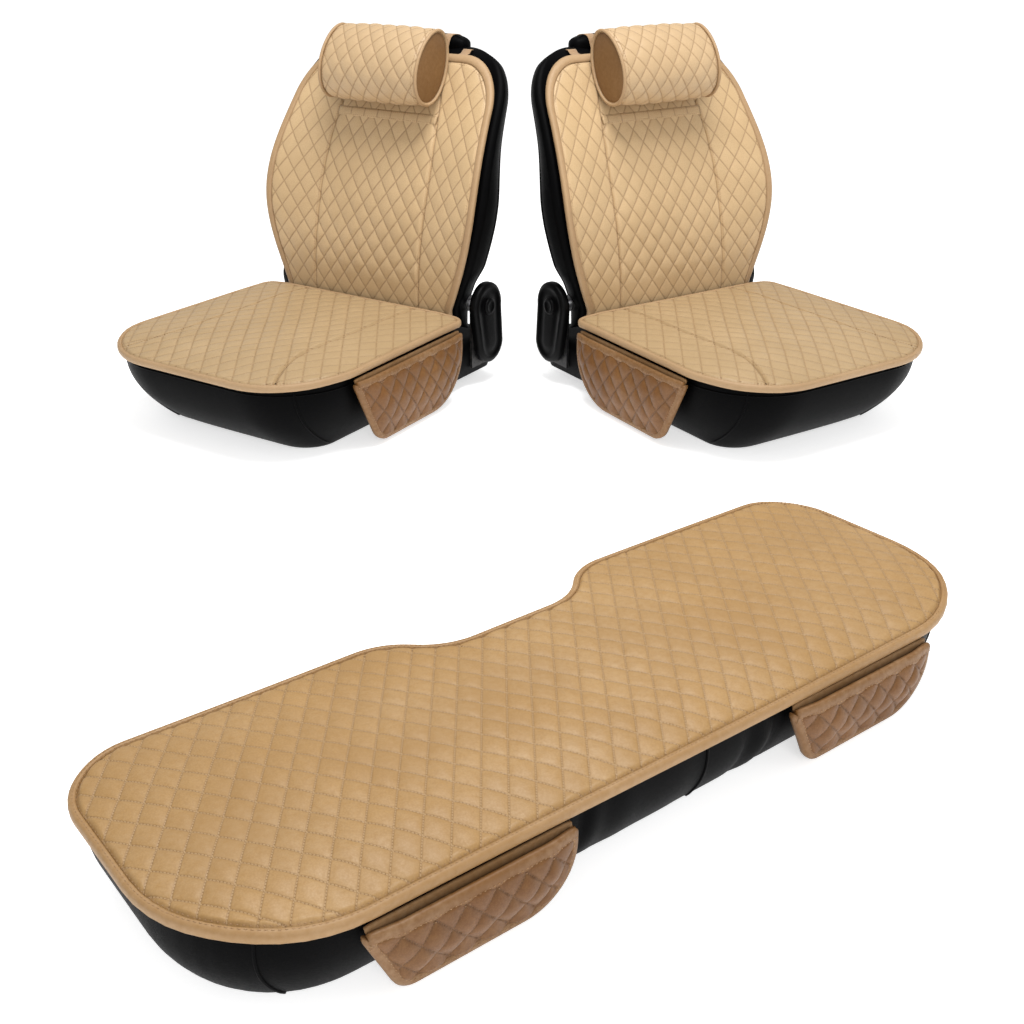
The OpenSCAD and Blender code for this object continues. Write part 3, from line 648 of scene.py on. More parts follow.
def backHalf(s):
    s = np.asarray(s, float)
    rise = np.sin(pi / 2 * np.clip(s, 0, back["midHigh"]) / back["midHigh"])
    lower = mix(back["bottomWide"], back["midWide"], rise)
    fall = (1 - np.cos(pi * np.clip((s - back["midHigh"]) / back["taper"], 0, 1))) / 2
    return np.where(s < back["midHigh"], lower, mix(back["midWide"], back["topWide"], fall)) / 2


def backEdge(s):
    t = np.clip((np.asarray(s, float) - back["high"] + back["shoulderHigh"]) / back["shoulderHigh"], 0, 1)
    return backHalf(s) - back["shoulderWide"] * (1 - np.sqrt(1 - t * t))


def backSeam(s):
    rise = np.maximum(0, (np.asarray(s, float) - back["midHigh"]) / (back["high"] - back["midHigh"]))
    return back["seamX"] - back["seamSweep"] * rise ** 2


def bolsterAt(x, s):
    wing = np.clip((np.abs(x) - backSeam(s)) / (backHalf(s) - backSeam(s)), 0, 1)
    return np.where(s <= 0, 0, back["bolster"] * np.sin(pi * np.clip(s / back["high"], 0, 1)) ** 2 * wing)


def frontLine(s, d):  # (y, z) on the front of the back, d behind the cover's face
    s = np.asarray(s, float)
    turn = -np.minimum(s, 0) / back["rollRound"]
    y = np.where(s < 0, back["rollRound"] - (back["rollRound"] - d) * np.cos(turn), leanAt(s) + d)
    z = np.where(s < 0, cushion["top"] - (back["rollRound"] - d) * np.sin(turn), cushion["top"] + s)
    return y, z


def frontSpot(s, d):
    return [float(v) for v in frontLine(s, d)]


def backSurface(x, s, up):  # flatter near the crease, so that it clears the cushion when it tilts
    up = np.where(np.asarray(up) > 0, up * (0.3 + 0.7 * smooth((s - 20) / 70)), up)
    y, z = frontLine(s, -up)
    return np.stack([x, y - bolsterAt(x, s), z], -1)


def backPath(d=0.0):
    rise = np.concatenate([np.linspace(-back["tail"], back["high"] - back["shoulderHigh"], 84),
                           back["high"] - back["shoulderHigh"] * (1 - np.sin(np.linspace(0.06, pi / 2, 22)))])
    right = np.column_stack([backEdge(rise), rise])
    top = np.column_stack([np.linspace(right[-1, 0], 0, 26)[1:], np.full(25, back["high"])])
    half = np.vstack([right, top])
    return inset(np.vstack([half, (half * [-1, 1])[::-1][1:]]), d, False)


def backCover():
    inner = backPath(cover["seam"])
    inner = inner[:len(inner) // 2 + 1]
    tail, yoke, top = -back["tail"], back["yokeHigh"], inner[-1, 1]

    def seamLine(low, high):
        s = np.linspace(low, high, 60)
        return np.column_stack([backSeam(s), s])

    def strip(low, high):
        seam = seamLine(low, high)
        return [seam[[0]] * [[-1, 1]], seam[[-1]] * [[-1, 1]]], seam

    def middlePanel(low, high, look):
        ends, seam = strip(low, high)
        sides = [np.vstack([ends[0], seam[:1]]), seam, np.vstack([ends[1], seam[-1:]]), seam * [-1, 1]]
        return quiltedPanel(sides, backSurface, look)
    seam = seamLine(tail, top)
    corner = nearest(inner, (back["topWide"] / 2 - 52, top - 30))
    shoulder = inner[corner:-1][::-1]
    shoulder = shoulder[np.searchsorted(shoulder[:, 0], seam[-1, 0]):]
    side = [np.vstack([seam[:1], inner[:1]]), inner[:corner + 1], np.vstack([seam[-1:], shoulder]), seam]
    sidePanel = quiltedPanel(side, backSurface, dict(backQuilt, puff=2.8))
    tape = tapeAround(backPath, wideTape, backSurface, False)
    ends, yokeSeam = strip(yoke, yoke + 1)
    across = np.column_stack([np.linspace(-yokeSeam[0, 0], yokeSeam[0, 0], 60), np.full(60, float(yoke))])
    band = [(10, -3), (10, 2.2), (7, 3.6), (0, 4.0), (-7, 3.6), (-10, 2.2), (-10, -3)]
    bandPart = tapeAround(lambda d: across + [0, d], band, backSurface, False)
    rows = [surfaceStitches(backPath(d), backSurface, up) for d, up in ((10.5, 2.1), (20, 1.2))]
    rows += [surfaceStitches(across + [0, d], backSurface, 3.7, pitch=6.0) for d in (-7, 7)]
    seams = [surfaceStitches(inset(seam, d, False), backSurface, 0.6, pitch=6.0) for d in (-4.5, 4.5)]
    return {"centre": middlePanel(tail, yoke, backQuilt),
            "yoke": joined(middlePanel(yoke, top, dict(backQuilt, puff=1.4)), bandPart),
            "sides": joined(sidePanel, mirrored(sidePanel)), "tape": tape,
            "threads": joined(*rows, *seams, *[mirrored(row) for row in seams])}


# Neck pillow
pillow = {"long": 281, "tall": 90, "deep": 60, "at": 504, "gap": 3, "piping": 4.0, "wide": 40, "around": 9,
          "puff": 3.2, "sharp": 0.36, "capCrown": 7}
steepness = (pillow["at"] / back["high"]) ** (back["leanPower"] - 1)
pillowTilt = atan(back["leanPower"] * back["lean"] / back["high"] * steepness)


def pillowPoint(x, y, z):
    y0, z0 = frontLine(pillow["at"], 0)
    reach = pillow["deep"] + pillow["gap"]
    c, s = cos(pillowTilt), sin(pillowTilt)
    return np.stack(np.broadcast_arrays(x, y0 - reach * c + y * c + z * s, z0 + reach * s - y * s + z * c), -1)


def egg(turn, grow=0.0):
    y = (pillow["deep"] + grow) * np.cos(turn) * (1 - 0.08 * np.sin(turn))
    return y, (pillow["tall"] + grow) * np.sin(turn)


def neckPillow():
    turn = np.linspace(0, 2 * pi, 181)
    y, z = egg(turn)
    run = np.concatenate([[0], np.cumsum(np.hypot(np.diff(y), np.diff(z)))])
    even = np.interp(np.linspace(0, run[-1], 181), run, turn)[:-1]
    around = np.linspace(0, pillow["around"], 181)[:-1]
    x = np.linspace(-pillow["long"] / 2, pillow["long"] / 2, 96)[:, None]
    a, b = x / pillow["wide"] + around, x / pillow["wide"] - around
    dome = (np.abs(np.sin(pi * a)) * np.abs(np.sin(pi * b))) ** pillow["sharp"]
    fromEnd = pillow["long"] / 2 - np.abs(x)
    grow = pillow["puff"] * dome * (0.86 + 0.28 * cellChance(a, b)) * smooth(fromEnd / 14) - 4 \
        - 3.5 * (1 - smooth(fromEnd / 9)) + 3.0 * smooth(fromEnd / 80)
    rings = pillowPoint(x, *egg(even[None, :], grow))
    body = loft(rings, uv=np.stack([a, b], -1))
    cap, piping = [], []
    loop = np.linspace(0, 2 * pi, 73)[:-1]
    for k in np.linspace(0, 1, 9)[:-1]:
        ringY, ringZ = egg(loop, -6)
        cap.append(pillowPoint(pillow["long"] / 2 - 2 + pillow["capCrown"] * sin(pi / 2 * k) ** 0.8,
                               ringY * (1 - k ** 1.6), ringZ * (1 - k ** 1.6)))
    first = pillowPoint(pillow["long"] / 2 - 12, *egg(loop, -12))
    capPart = loft([first] + cap)
    edgeY, edgeZ = egg(loop, -pillow["piping"])
    for way, up in circle(pillow["piping"], 10):
        outY, outZ = egg(loop, -pillow["piping"] + way)
        piping.append(pillowPoint(pillow["long"] / 2 + 1 + up, outY, outZ))
    pipePart = hoop(np.stack(piping, 1))
    threadLine = pillowPoint(np.full(72, pillow["long"] / 2 - 10), *egg(loop, -1.2))
    middle = pillowPoint(np.full(72, pillow["long"] / 2 - 10), edgeY * 0, edgeZ * 0)
    threads = stitches(closedLine(threadLine), closedLine(unit(threadLine - middle)), pitch=6.5)
    return {"body": body, "caps": joined(capPart, mirrored(capPart)),
            "piping": joined(pipePart, mirrored(pipePart)), "threads": joined(threads, mirrored(threads))}


# Hanging pockets
pocket = {"back": 4, "front": 7, "mouth": 5, "belly": 9, "mouthDrop": 11, "inset": 6, "gap": 3,
          "seatAt": -240.0, "benchAt": 339}
pocketSizes = {
    "seat": {"long": 400, "deep": 160, "wide": 50, "tall": 60, "slant": 72, "frontRound": 44, "rearRound": 120},
    "bench": {"long": 290, "deep": 104, "wide": 42, "tall": 46, "slant": 42, "frontRound": 30, "rearRound": 76},
}


def sidePocketSpot(points):
    sideTurn = np.arctan((cushion["rearWide"] - cushion["frontWide"]) / 2 / cushion["deep"])
    middle = pocket["seatAt"]
    half = cushion["rearWide"] / 2 + (middle + cushion["gap"]) * np.tan(sideTurn)
    c, s = cos(pi / 2 - sideTurn), sin(pi / 2 - sideTurn)
    x, y = points[..., 0], points[..., 1] + pocket["inset"]
    top = cushion["top"] - cover["tapeHigh"] - 1 - pocket["gap"]
    return np.stack([half + x * c - y * s, middle + x * s + y * c, points[..., 2] + top], -1)


def benchPocketSpot(side):
    top = bench["top"] - cover["tapeHigh"] - 1 - pocket["gap"]
    corner = np.array([side * pocket["benchAt"], pocket["inset"] - bench["deep"] / 2, top])
    return lambda points: points + corner


def hangingPocket(size, spot):
    half, deep, drop = size["long"] / 2, size["deep"], pocket["mouthDrop"]

    def outline(top, d=0.0):
        return roundedOutline([(size["slant"] - half, -deep), (half, -deep), (half, top), (-half, top)],
                              [size["frontRound"], size["rearRound"], 4, 4], d, step=7)
    ring = outline(-drop)
    front, rear = size["frontRound"] * 0.3, size["rearRound"] * 0.3
    low = ((size["slant"] - half + front, front - deep), (half - rear, rear - deep))
    cuts = [nearest(ring, p) for p in (*low, (half, -drop), (-half, -drop))]
    sides = fourSides(ring, cuts)
    hem = partOf(ring, cuts[3], cuts[2])

    def bulge(x, z):
        t = np.clip((-drop - z) / (deep - drop), 0, 1)
        full = pocket["mouth"] * (1 - t) + pocket["belly"] * np.sin(pi * t)
        near = edgeDistance(np.stack([x, z], -1).reshape(-1, 2), [hem]).reshape(np.shape(x))
        return pocket["back"] + pocket["front"] + full * smooth(near / 46)

    def frontSurface(x, z, up):
        return spot(np.stack([x, -(bulge(x, z) + up), z], -1))

    def flatSurface(x, z, up):
        return spot(np.stack([x, -np.broadcast_to(up, np.shape(x)), z], -1))
    look = {"wide": size["wide"], "tall": size["tall"], "puff": 5.5, "sharp": 0.45, "edge": 8, "thick": 6,
            "step": 2.6}
    front = quiltedPanel(sides, frontSurface, look)
    mouth = np.column_stack([np.linspace(-half + 2, half - 2, 70), np.full(70, -drop - 2.0)])
    roll = [(-9, -1), (-8, 2.6), (-3, 4.2), (3, 4.4), (7, 3), (8.5, 0), (7, -5), (0, -7), (-8, -6)]
    band = tapeAround(lambda d: mouth + [0, d], roll, frontSurface, False)
    fullRing = outline(0)
    grid = coons(fourSides(fullRing, [nearest(fullRing, p) for p in (*low, (half, 0), (-half, 0))]), 9)
    flat = [flatSurface(grid[..., 0], grid[..., 1], np.full(grid.shape[:2], depth))
            for depth in (pocket["back"], 0.0)]
    lining = closedPad(*flat, grid / 40)
    wrap = [(9, 12), (8, 13.2), (4, 14), (-1, 13), (-4.5, 10), (-5, 5), (-4, 0.5), (4, -0.8), (9, -0.8)]
    tape = tapeAround(lambda d: inset(hem, d, False), wrap, flatSurface, False)
    threads = [surfaceStitches(inset(hem, 5, False), flatSurface, 14, pitch=6.5),
               surfaceStitches(mouth + [0, -4], frontSurface, 4.2, pitch=6.5),
               surfaceStitches(mouth + [0, -12], frontSurface, 1.4, pitch=6.5)]
    return {"front": front, "lining": lining, "tape": joined(tape, band), "threads": joined(*threads)}


# Rear bench
bench = {"long": 1336, "deep": 446, "top": 142, "frontRound": 200, "rearRound": 105, "recessHalf": 148,
         "recessIn": 72, "stepRound": 105, "crown": 9, "frontDrop": 8, "flapToMiddle": 219}
benchQuilt = {"wide": 41, "tall": 55, "puff": 3.7, "sharp": 0.34, "edge": 6, "thick": 12, "step": 3.5}


def benchOutline(d=0.0):
    x, y, step = bench["long"] / 2, bench["deep"] / 2, bench["recessIn"] / 2
    half, recess = bench["recessHalf"], y - bench["recessIn"]
    corners = [(-x, -y), (x, -y), (x, y), (half + step, y), (half - step, recess), (step - half, recess),
               (-step - half, y), (-x, y)]
    radii = [bench["frontRound"]] * 2 + [bench["rearRound"], *[bench["stepRound"]] * 4, bench["rearRound"]]
    return roundedOutline(corners, radii, d)


def benchSurface(x, y, up):
    across = 1 - (y / 235) ** 2
    crown = bench["crown"] * across * (1 - (np.abs(x) / 700) ** 6)
    drop = bench["frontDrop"] * (1 - smooth((y + bench["deep"] / 2) / 90)) \
        + 5 * (1 - smooth((bench["long"] / 2 - np.abs(x)) / 100))
    sway = 2.0 * np.sin(x / 190 + 0.6) * np.sin(y / 160)
    return np.stack([x, y, bench["top"] - 2 + crown - drop + sway + up], -1)


def benchCover():
    ring = benchOutline(cover["slimSeam"])
    x, y = bench["long"] / 2 - cover["slimSeam"], bench["deep"] / 2 - cover["slimSeam"]
    corners = ((-x + 53, -y + 53), (x - 53, -y + 53), (x - 25, y - 25), (-x + 25, y - 25))
    sides = fourSides(ring, [nearest(ring, p) for p in corners])
    rows = [surfaceStitches(closedLine(benchOutline(d)), benchSurface, up)
            for d, up in ((6, 2.2), (11, 2.0), (20, 1.2))]
    return {"top": quiltedPanel(sides, benchSurface, benchQuilt),
            "tape": tapeAround(benchOutline, slimTape, benchSurface, True), "threads": joined(*rows)}


# Black upholstery under the covers
base = {"inset": 24, "footIn": 100, "footBack": 140, "blockHalf": 281, "blockDeep": 165, "blockHigh": 120,
        "bulge": 13, "benchFootIn": 35}


def seatFoot(frontY, rearY, half, r):
    return roundedOutline([(-half, frontY), (half, frontY), (half, rearY), (-half, rearY)], r, 0)


def upholsteredBlock(lower, upper, high, folds=()):  # full sides between two outlines of as many points
    rings = []
    middle = upper.mean(0)
    for t in np.concatenate([[0, 0.02, 0.05], np.linspace(0.1, 0.97, 24), [1.0]]):
        line = mix(lower, upper, 1 - (1 - t) ** 2.3)
        out = unit(line - middle)
        push = base["bulge"] * sin(pi * (0.12 + 0.8 * t)) - 6 * (1 - min(1, t / 0.08)) ** 2
        puckers = sum(deep * np.exp(-(((line - spot) @ np.array(way)) / wide) ** 2) * (sin(pi * t) ** 0.6)
                      * (((line - spot) @ np.array([-way[1], way[0]])) < 60)
                      for spot, way, wide, deep in folds) if folds else 0
        line = line + out * (push + np.reshape(puckers, (-1, 1)) if folds else push)
        rings.append(np.column_stack([line, np.full(len(line), high * t)]))
    return loft(rings)


def seatBase():
    count = 220
    top = resample(closedLine(cushionOutline(base["inset"])), count + 1)[:-1]
    f = cushion["frontWide"] / 2 - base["footIn"]
    front = -cushion["gap"] - cushion["deep"] + base["footBack"]
    rear = -cushion["gap"] - base["inset"]
    foot = resample(closedLine(seatFoot(front, rear, f, [70, 70, 12, 12])), count + 1)[:-1]
    body = upholsteredBlock(foot, top, cushion["top"] - 13)
    half, deep, high = base["blockHalf"], base["blockDeep"], base["blockHigh"]
    rings = []
    for z, k in ((0, 62), (4, 55), (30, 8), (60, 0), (high - 22, 0), (high - 8, 5), (high - 2, 12), (high, 22)):
        ring = seatFoot(-36 + min(k, 20) * 0.2, deep - k * 0.5, half - k, [22, 22, 40, 40])
        rings.append(np.column_stack([resample(closedLine(ring), 161)[:-1], np.full(160, float(z))]))
    rows, seams = body[0][:28 * count].reshape(28, count, 3), []
    for x in (-236, 236):
        line = rows[2:27, nearest(top, (x, -cushion["gap"] - cushion["deep"] + 80))]
        seams.append(sweep(line, circle(2.4, 8), (0.0, 1.0, 0.3)))
    belt = rows[23]
    out = unit(np.column_stack([belt[:, :2] - belt[:, :2].mean(0), np.zeros(count)]))
    seams.append(sweep(belt + out * 0.6, circle(1.8, 8), (0, 0, 1), closed=True))
    return joined(body, loft(rings), *seams)


# across, width and depth of each crease and pucker on the bench's front
benchFolds = ((-160, 9, -5), (-137, 12, 4), (-90, 24, 3), (40, 30, -3), (128, 12, -6), (150, 14, 5),
              (176, 9, -4))


def benchBase():
    count = 520
    top = resample(closedLine(benchOutline(base["inset"])), count + 1)[:-1]
    foot = resample(closedLine(benchOutline(base["inset"] + base["benchFootIn"])), count + 1)[:-1]
    folds = [((x, -190), (1, 0), wide, deep) for x, wide, deep in benchFolds]
    body = upholsteredBlock(foot, top, bench["top"] - 12, folds)
    rows = body[0][:28 * count].reshape(28, count, 3)
    seams = [sweep(rows[2:27, nearest(top, (x, -199))], circle(2.2, 8), (0.2, 1.0, 0.2))
             for x in (-600, 45, 560)]
    return joined(body, *seams)


shell = {"high": 569, "bottomDeep": 148, "topDeep": 100, "behindCover": 24, "edgeShow": 8, "drop": 25,
         "topRound": 30, "square": 3.4, "lowerFull": 34, "upperTuck": 16}


def rearLine(s):
    t = np.asarray(s, float) / shell["high"]
    z = cushion["top"] + s * (1 - shell["drop"] / shell["high"])
    return leanAt(s) + mix(shell["bottomDeep"], shell["topDeep"], t), z


def rearSpot(s):
    return [float(v) for v in rearLine(s)]


def backrestShell():
    rings, power = [], 2 / shell["square"]
    turn = np.linspace(0, pi, 61)
    high, topRound = shell["high"], shell["topRound"]
    steps = [(0.0, k) for k in np.linspace(1, 0.1, 7)] + [(s, 0) for s in np.linspace(0, high - topRound, 60)]
    steps += [(high - topRound * (1 - sin(k)), -(1 - cos(k))) for k in np.linspace(0.18, pi / 2 - 0.06, 9)]
    core = back["rollRound"] - shell["behindCover"]
    for s, part in steps:
        half = float(backEdge(s * back["high"] / high)) + shell["edgeShow"] * min(1, s / back["midHigh"])
        tuck = topRound * max(0, -part)
        half -= tuck * 0.9
        frontY, frontZ = frontSpot(s, shell["behindCover"])
        rearY, rearZ = rearSpot(s)
        frontY, rearY = frontY + tuck * 0.8, rearY - tuck
        if part > 0:
            angle = part * pi / 2
            frontY, rearY = (back["rollRound"] + side * core * cos(angle) * 0.99 for side in (-1, 1))
            frontZ = rearZ = cushion["top"] - core * sin(angle)
        width = 1 + 0.014 * sin(9 * s / high) * (part == 0)
        full = shell["lowerFull"] * smooth((s - 45) / 60) * (1 - smooth((s - 190) / 200)) \
            - shell["upperTuck"] * smooth((s - 250) / 150)
        x = (half + full * np.sin(turn)) * np.sign(np.cos(turn)) * np.abs(np.cos(turn)) ** power
        deep = np.sin(turn) ** power * width
        rear = np.column_stack([x, mix(frontY, rearY, deep) - bolsterAt(x, s) * (1 - deep),
                                mix(frontZ, rearZ, deep)])
        fx = np.linspace(x[-1], x[0], 42)[1:-1]
        face = np.column_stack([fx, frontY - bolsterAt(fx, s) + 0 * fx, np.full(len(fx), frontZ)])
        rings.append(np.vstack([rear, face]))
    rows, seams = np.array(rings), []
    for column in (7, 53):
        line = rows[9:-3, column] + [0.6 if column == 7 else -0.6, 0, 0]
        seams.append(sweep(line, circle(2.0, 8), (0, 1, 0.3)))
    arch = np.vstack([rows[8:-6, 17], rows[-6, 17:44], rows[8:-6, 43][::-1]])
    seams.append(sweep(arch + [0, 0.8, 0], circle(1.8, 8), (0, 1, 0.2)))
    return joined(loft(rings), *seams)


pad = {"frontIn": 4, "rearIn": 14, "rise": 26, "sink": 16, "half": 143.0}


def headPad():
    frontY, frontZ = frontSpot(shell["high"], shell["behindCover"])
    rearY, rearZ = rearSpot(shell["high"])
    y0, y1, high = frontY + pad["frontIn"], rearY - pad["rearIn"], frontZ + pad["rise"]
    low = (frontZ + rearZ) / 2 - pad["sink"]
    rings = []
    for t in np.linspace(-1, 1, 45):
        shrink = (1 - abs(t) ** 5) ** 0.42 if abs(t) < 1 else 0.0
        turn = np.linspace(0, 2 * pi, 49)[:-1]
        c, s = np.cos(turn), np.sin(turn)
        y = (y0 + y1) / 2 + (y1 - y0) / 2 * (0.12 + 0.88 * shrink) * np.sign(c) * np.abs(c) ** 0.7
        z = (low + high) / 2 + (high - low) / 2 * (0.12 + 0.88 * shrink) * np.sign(s) * np.abs(s) ** 0.7
        rings.append(np.column_stack([np.full(48, pad["half"] * t), y, z]))
    rib = np.array([ring[12] for ring in rings[3:-3]]) + [0, -9, -0.6]
    return joined(loft(rings), sweep(rib, circle(1.6, 8), (0, 0, 1)))


# skin: how far out each ring stands, and how much smaller it is; boss: how far out, and its radius
shield = {"hub": 58, "hubBack": 8, "hubDrop": 2, "arm": 52, "armBack": 20, "armDrop": 95,
          "skin": ((287, 1), (291, 0), (299, 0), (303, 1.2), (306, 4.5), (307.2, 10), (307, 15), (305, 18),
                   (304.4, 30), (305.6, 34), (306, 42)),
          "boss": ((303, 20), (309, 20), (311.5, 18), (312, 13), (310.5, 11), (310, 5))}


def reclinerShield():
    hubY, hubZ = back["rollRound"] + shield["hubBack"], cushion["top"] - shield["hubDrop"]
    armY, armZ = back["rollRound"] + shield["armBack"], cushion["top"] - shield["armDrop"]
    arcs = ((hubY, hubZ, shield["hub"], np.radians(np.linspace(-8, 187, 60))),
            (armY, armZ, shield["arm"], np.radians(np.linspace(187, 352, 50))))
    rings = []
    for x, cut in shield["skin"]:
        spots = np.vstack([np.column_stack([y + (r - cut) * np.cos(turn), z + (r - cut) * np.sin(turn)])
                           for y, z, r, turn in arcs])
        rings.append(np.column_stack([np.full(len(spots), float(x)), spots]))
    boss = [[(x, hubY + r * cos(a), hubZ + r * sin(a)) for a in np.linspace(0, 2 * pi, 41)[:-1]]
            for x, r in shield["boss"]]
    both = joined(loft(rings), loft(boss))
    return joined(both, mirrored(both))


# Straps and buckles
strap = {"wide": 25, "thick": 1.6, "backX": 160, "pillowX": 95, "slack": 0.3}


def ribbon(path, x):
    wide, thick = strap["wide"], strap["thick"]
    path = resample(path, max(10, int(lineLength(path) / 5)))
    soft = path.copy()
    for _ in range(3):
        soft[1:-1] = (soft[:-2] + 2 * soft[1:-1] + soft[2:]) / 4
    spine = np.column_stack([np.full(len(soft), float(x)), soft])
    w, t = wide / 2, thick / 2
    profile = [(-w, 0), (-w + 0.8, t), (-w + 3, t * 1.25), (0, t), (w - 3, t * 1.25), (w - 0.8, t), (w, 0),
               (w - 0.8, -t), (0, -t), (-w + 0.8, -t)]
    along = unit(np.gradient(spine, axis=0))
    side = np.array([1.0, 0, 0])
    lift = np.cross(along, side)
    rings = np.array([[p + side * a + n * (b + thick) for a, b in profile] for p, n in zip(spine, lift)])
    rows = [stitches(np.array([p + side * k + n * (thick * 1.7) for p, n in zip(spine, lift)]), lift,
                     pitch=5.5, long=3.2, wide=1.0, high=0.5) for k in (-w + 3, w - 3)]
    return joined(loft(rings), *rows)


def strapLines():
    slack, foam = strap["slack"], shell["behindCover"]
    frontY, frontZ = frontSpot(shell["high"], foam)
    rearY, rearZ = rearSpot(shell["high"])
    topY, topZ = frontSpot(back["high"], 0)
    ledge = frontSpot(back["high"], foam)
    padFront, padRear, padTop = frontY + pad["frontIn"], rearY - pad["rearIn"], frontZ + pad["rise"]
    down = [[y + slack, z] for y, z in map(rearSpot, np.linspace(shell["high"] - 30, 0, 40))]
    r = back["rollRound"] - cover["thick"] + 1.5
    wrap = [[back["rollRound"] + r * cos(a), cushion["top"] - r * sin(a)]
            for a in np.radians(np.arange(10, 160, 10))]
    holding = [[topY + 2, ledge[1]], [ledge[0], ledge[1] + slack], [frontY, frontZ + slack],
               [rearY - 6, rearZ + 2], [rearY + 1, rearZ - 6]] + down + wrap
    lead = [frontSpot(s, -3.2) for s in np.linspace(460, back["high"] - 2, 12)]
    over = [[topY - 2, topZ + 3], [ledge[0], ledge[1] + 3], [frontY, frontZ + 6], [padFront + 2, padTop - 6],
            [padFront + 14, padTop + 1.5], [(padFront + padRear) / 2, padTop + 1.5], [padRear - 8, padTop - 2],
            [padRear + 3, padTop - 12], [rearY + 1, rearZ + 1]]
    behind = [p for p in down if p[1] > cushion["top"] + 390]
    return holding, lead + over + behind


def strapBuckle(x):
    s = 0.4 * back["high"]
    (y0, z0), (y1, z1) = rearSpot(s - 20), rearSpot(s + 20)
    tilt = atan2(y1 - y0, z1 - z0)
    y, z = rearSpot(s)
    y += strap["thick"] + 6
    outline = roundedOutline([(-18, -25), (18, -25), (18, 25), (-18, 25)], [6, 6, 6, 6], 0, step=4, arcSteps=6)

    def stand(part):
        w, up, high = part[0].T
        c, n = cos(tilt), sin(tilt)
        return np.column_stack([w + x, y + up * c + high * n, z - up * n + high * c]), part[1], part[2]
    edge = [(0.0, -3.2), (0.0, 2.6), (0.8, 3.8), (2.4, 4.4), (4.2, 3.8), (4.8, 2.6), (4.8, -3.2)]
    rings = np.stack([np.column_stack([line[:, 0], np.full(len(line), up), line[:, 1]])
                      for line, up in ((inset(outline, d), up) for d, up in edge)], 1)
    bars = [sweep([(w, up, h) for w in np.linspace(-14, 14, 9)], circle(2.8, 10, 0.8), (0, 0, 1))
            for h, up in ((-12, 0.6), (0, 1.8), (12, 0.6))]
    return joined(*[stand(part) for part in (hoop(rings), *bars)])


# Putting the pieces together
places = {"left": seatPlace(1), "right": seatPlace(-1), "bench": benchPlace()}
threadMaterial = finishes["thread"]
seatCover, seatBack, roll = cushionCover(), backCover(), neckPillow()
print("cushion, back and pillow panels sewn")
sidePocket = hangingPocket(pocketSizes["seat"], sidePocketSpot)
holdingLine, pillowLine = strapLines()
seatParts = {
    "base": seatBase(), "shell": backrestShell(), "headPad": headPad(), "shield": reclinerShield(),
    "straps": joined(*[ribbon(holdingLine, x) for x in (-strap["backX"], strap["backX"])]),
    "pillowStrap": joined(*[ribbon(pillowLine, x) for x in (-strap["pillowX"], strap["pillowX"])]),
    "buckles": joined(*[strapBuckle(x) for x in (-strap["backX"], strap["backX"])]),
}
print("upholstery, straps and buckles made")

black, tape, webbing = finishes["blackLeather"], finishes["tape"], finishes["webbing"]
# tan is the back's lighter copy of the quilted leather, with painted light; sand is the cushion's
plastic, tan, sand = finishes["blackPlastic"], leathers["backCentre"], leathers["cushionTop"]
# the piece, its mesh, its finish, the body it rides, the CAD node it stands for, its slot and how full it is
seatPieces = [
    ("SeatUpholstery", seatParts["base"], black, "rest", "seat_base", "seat_leather", 0.9),
    ("BackUpholstery", seatParts["shell"], black, "tilt", "backrest", "seat_leather", 0.9),
    ("HeadPad", seatParts["headPad"], black, "tilt", "head_pad", "seat_leather", 0.8),
    ("RecliningShields", seatParts["shield"], plastic, "rest", "recliner_shields", "shield_plastic", None),
    ("CushionCentre", seatCover["centre"], sand, "rest", "cushion_centre_panel", "quilt_centre", 0.8),
    ("CushionSides", seatCover["sides"], sand, "rest", "cushion_side_panels", "quilt_side", 0.8),
    ("CushionTape", seatCover["tape"], tape, "rest", "cushion_binding", "binding_tape", None),
    ("CushionThreads", seatCover["threads"], threadMaterial, "rest", None, "binding_tape", None),
    ("BackCentre", seatBack["centre"], tan, "tilt", "back_centre_panel", "quilt_centre", 0.8),
    ("BackYoke", seatBack["yoke"], tan, "tilt", "back_yoke", "quilt_centre", 0.8),
    ("BackSides", seatBack["sides"], tan, "tilt", "back_side_panels", "quilt_side", 0.8),
    ("BackTape", seatBack["tape"], tape, "tilt", "back_binding", "binding_tape", None),
    ("BackThreads", seatBack["threads"], threadMaterial, "tilt", None, "binding_tape", None),
    ("HoldingStraps", seatParts["straps"], webbing, "tilt", "back_straps", "webbing", None),
    ("PillowStraps", seatParts["pillowStrap"], webbing, "tilt", "pillow_strap", "webbing", None),
    ("StrapBuckles", seatParts["buckles"], plastic, "tilt", "strap_buckles", "buckle_plastic", None),
    ("PillowRoll", roll["body"], leathers["pillow"], "pillow", "pillow_body", "pillow_quilt", 0.9),
    ("PillowEnds", roll["caps"], finishes["cap"], "pillow", "pillow_end_caps", "pillow_cap", 0.8),
    ("PillowPiping", roll["piping"], tape, "pillow", "pillow_piping", "binding_tape", None),
    ("PillowThreads", roll["threads"], threadMaterial, "pillow", None, "pillow_quilt", None),
]
# the end of the piece's name, its mesh, its finish, the CAD node it stands for, its slot and how full it is
pocketPieces = [
    ("Front", "front", leathers["pocket"], "pocket_front_panel", "pocket_quilt", 0.6),
    ("Lining", "lining", finishes["lining"], "pocket_back_panel", "pocket_lining", None),
    ("Tape", "tape", finishes["pocketTape"], "pocket_binding", "binding_tape", None),
    ("Threads", "threads", threadMaterial, None, "binding_tape", None),
]


def addPocket(name, part, place, body, pre):
    for ending, key, finish, node, slot, full in pocketPieces:
        makePiece(name + ending, part[key], place, finish, body, [pre + node] if node else ())


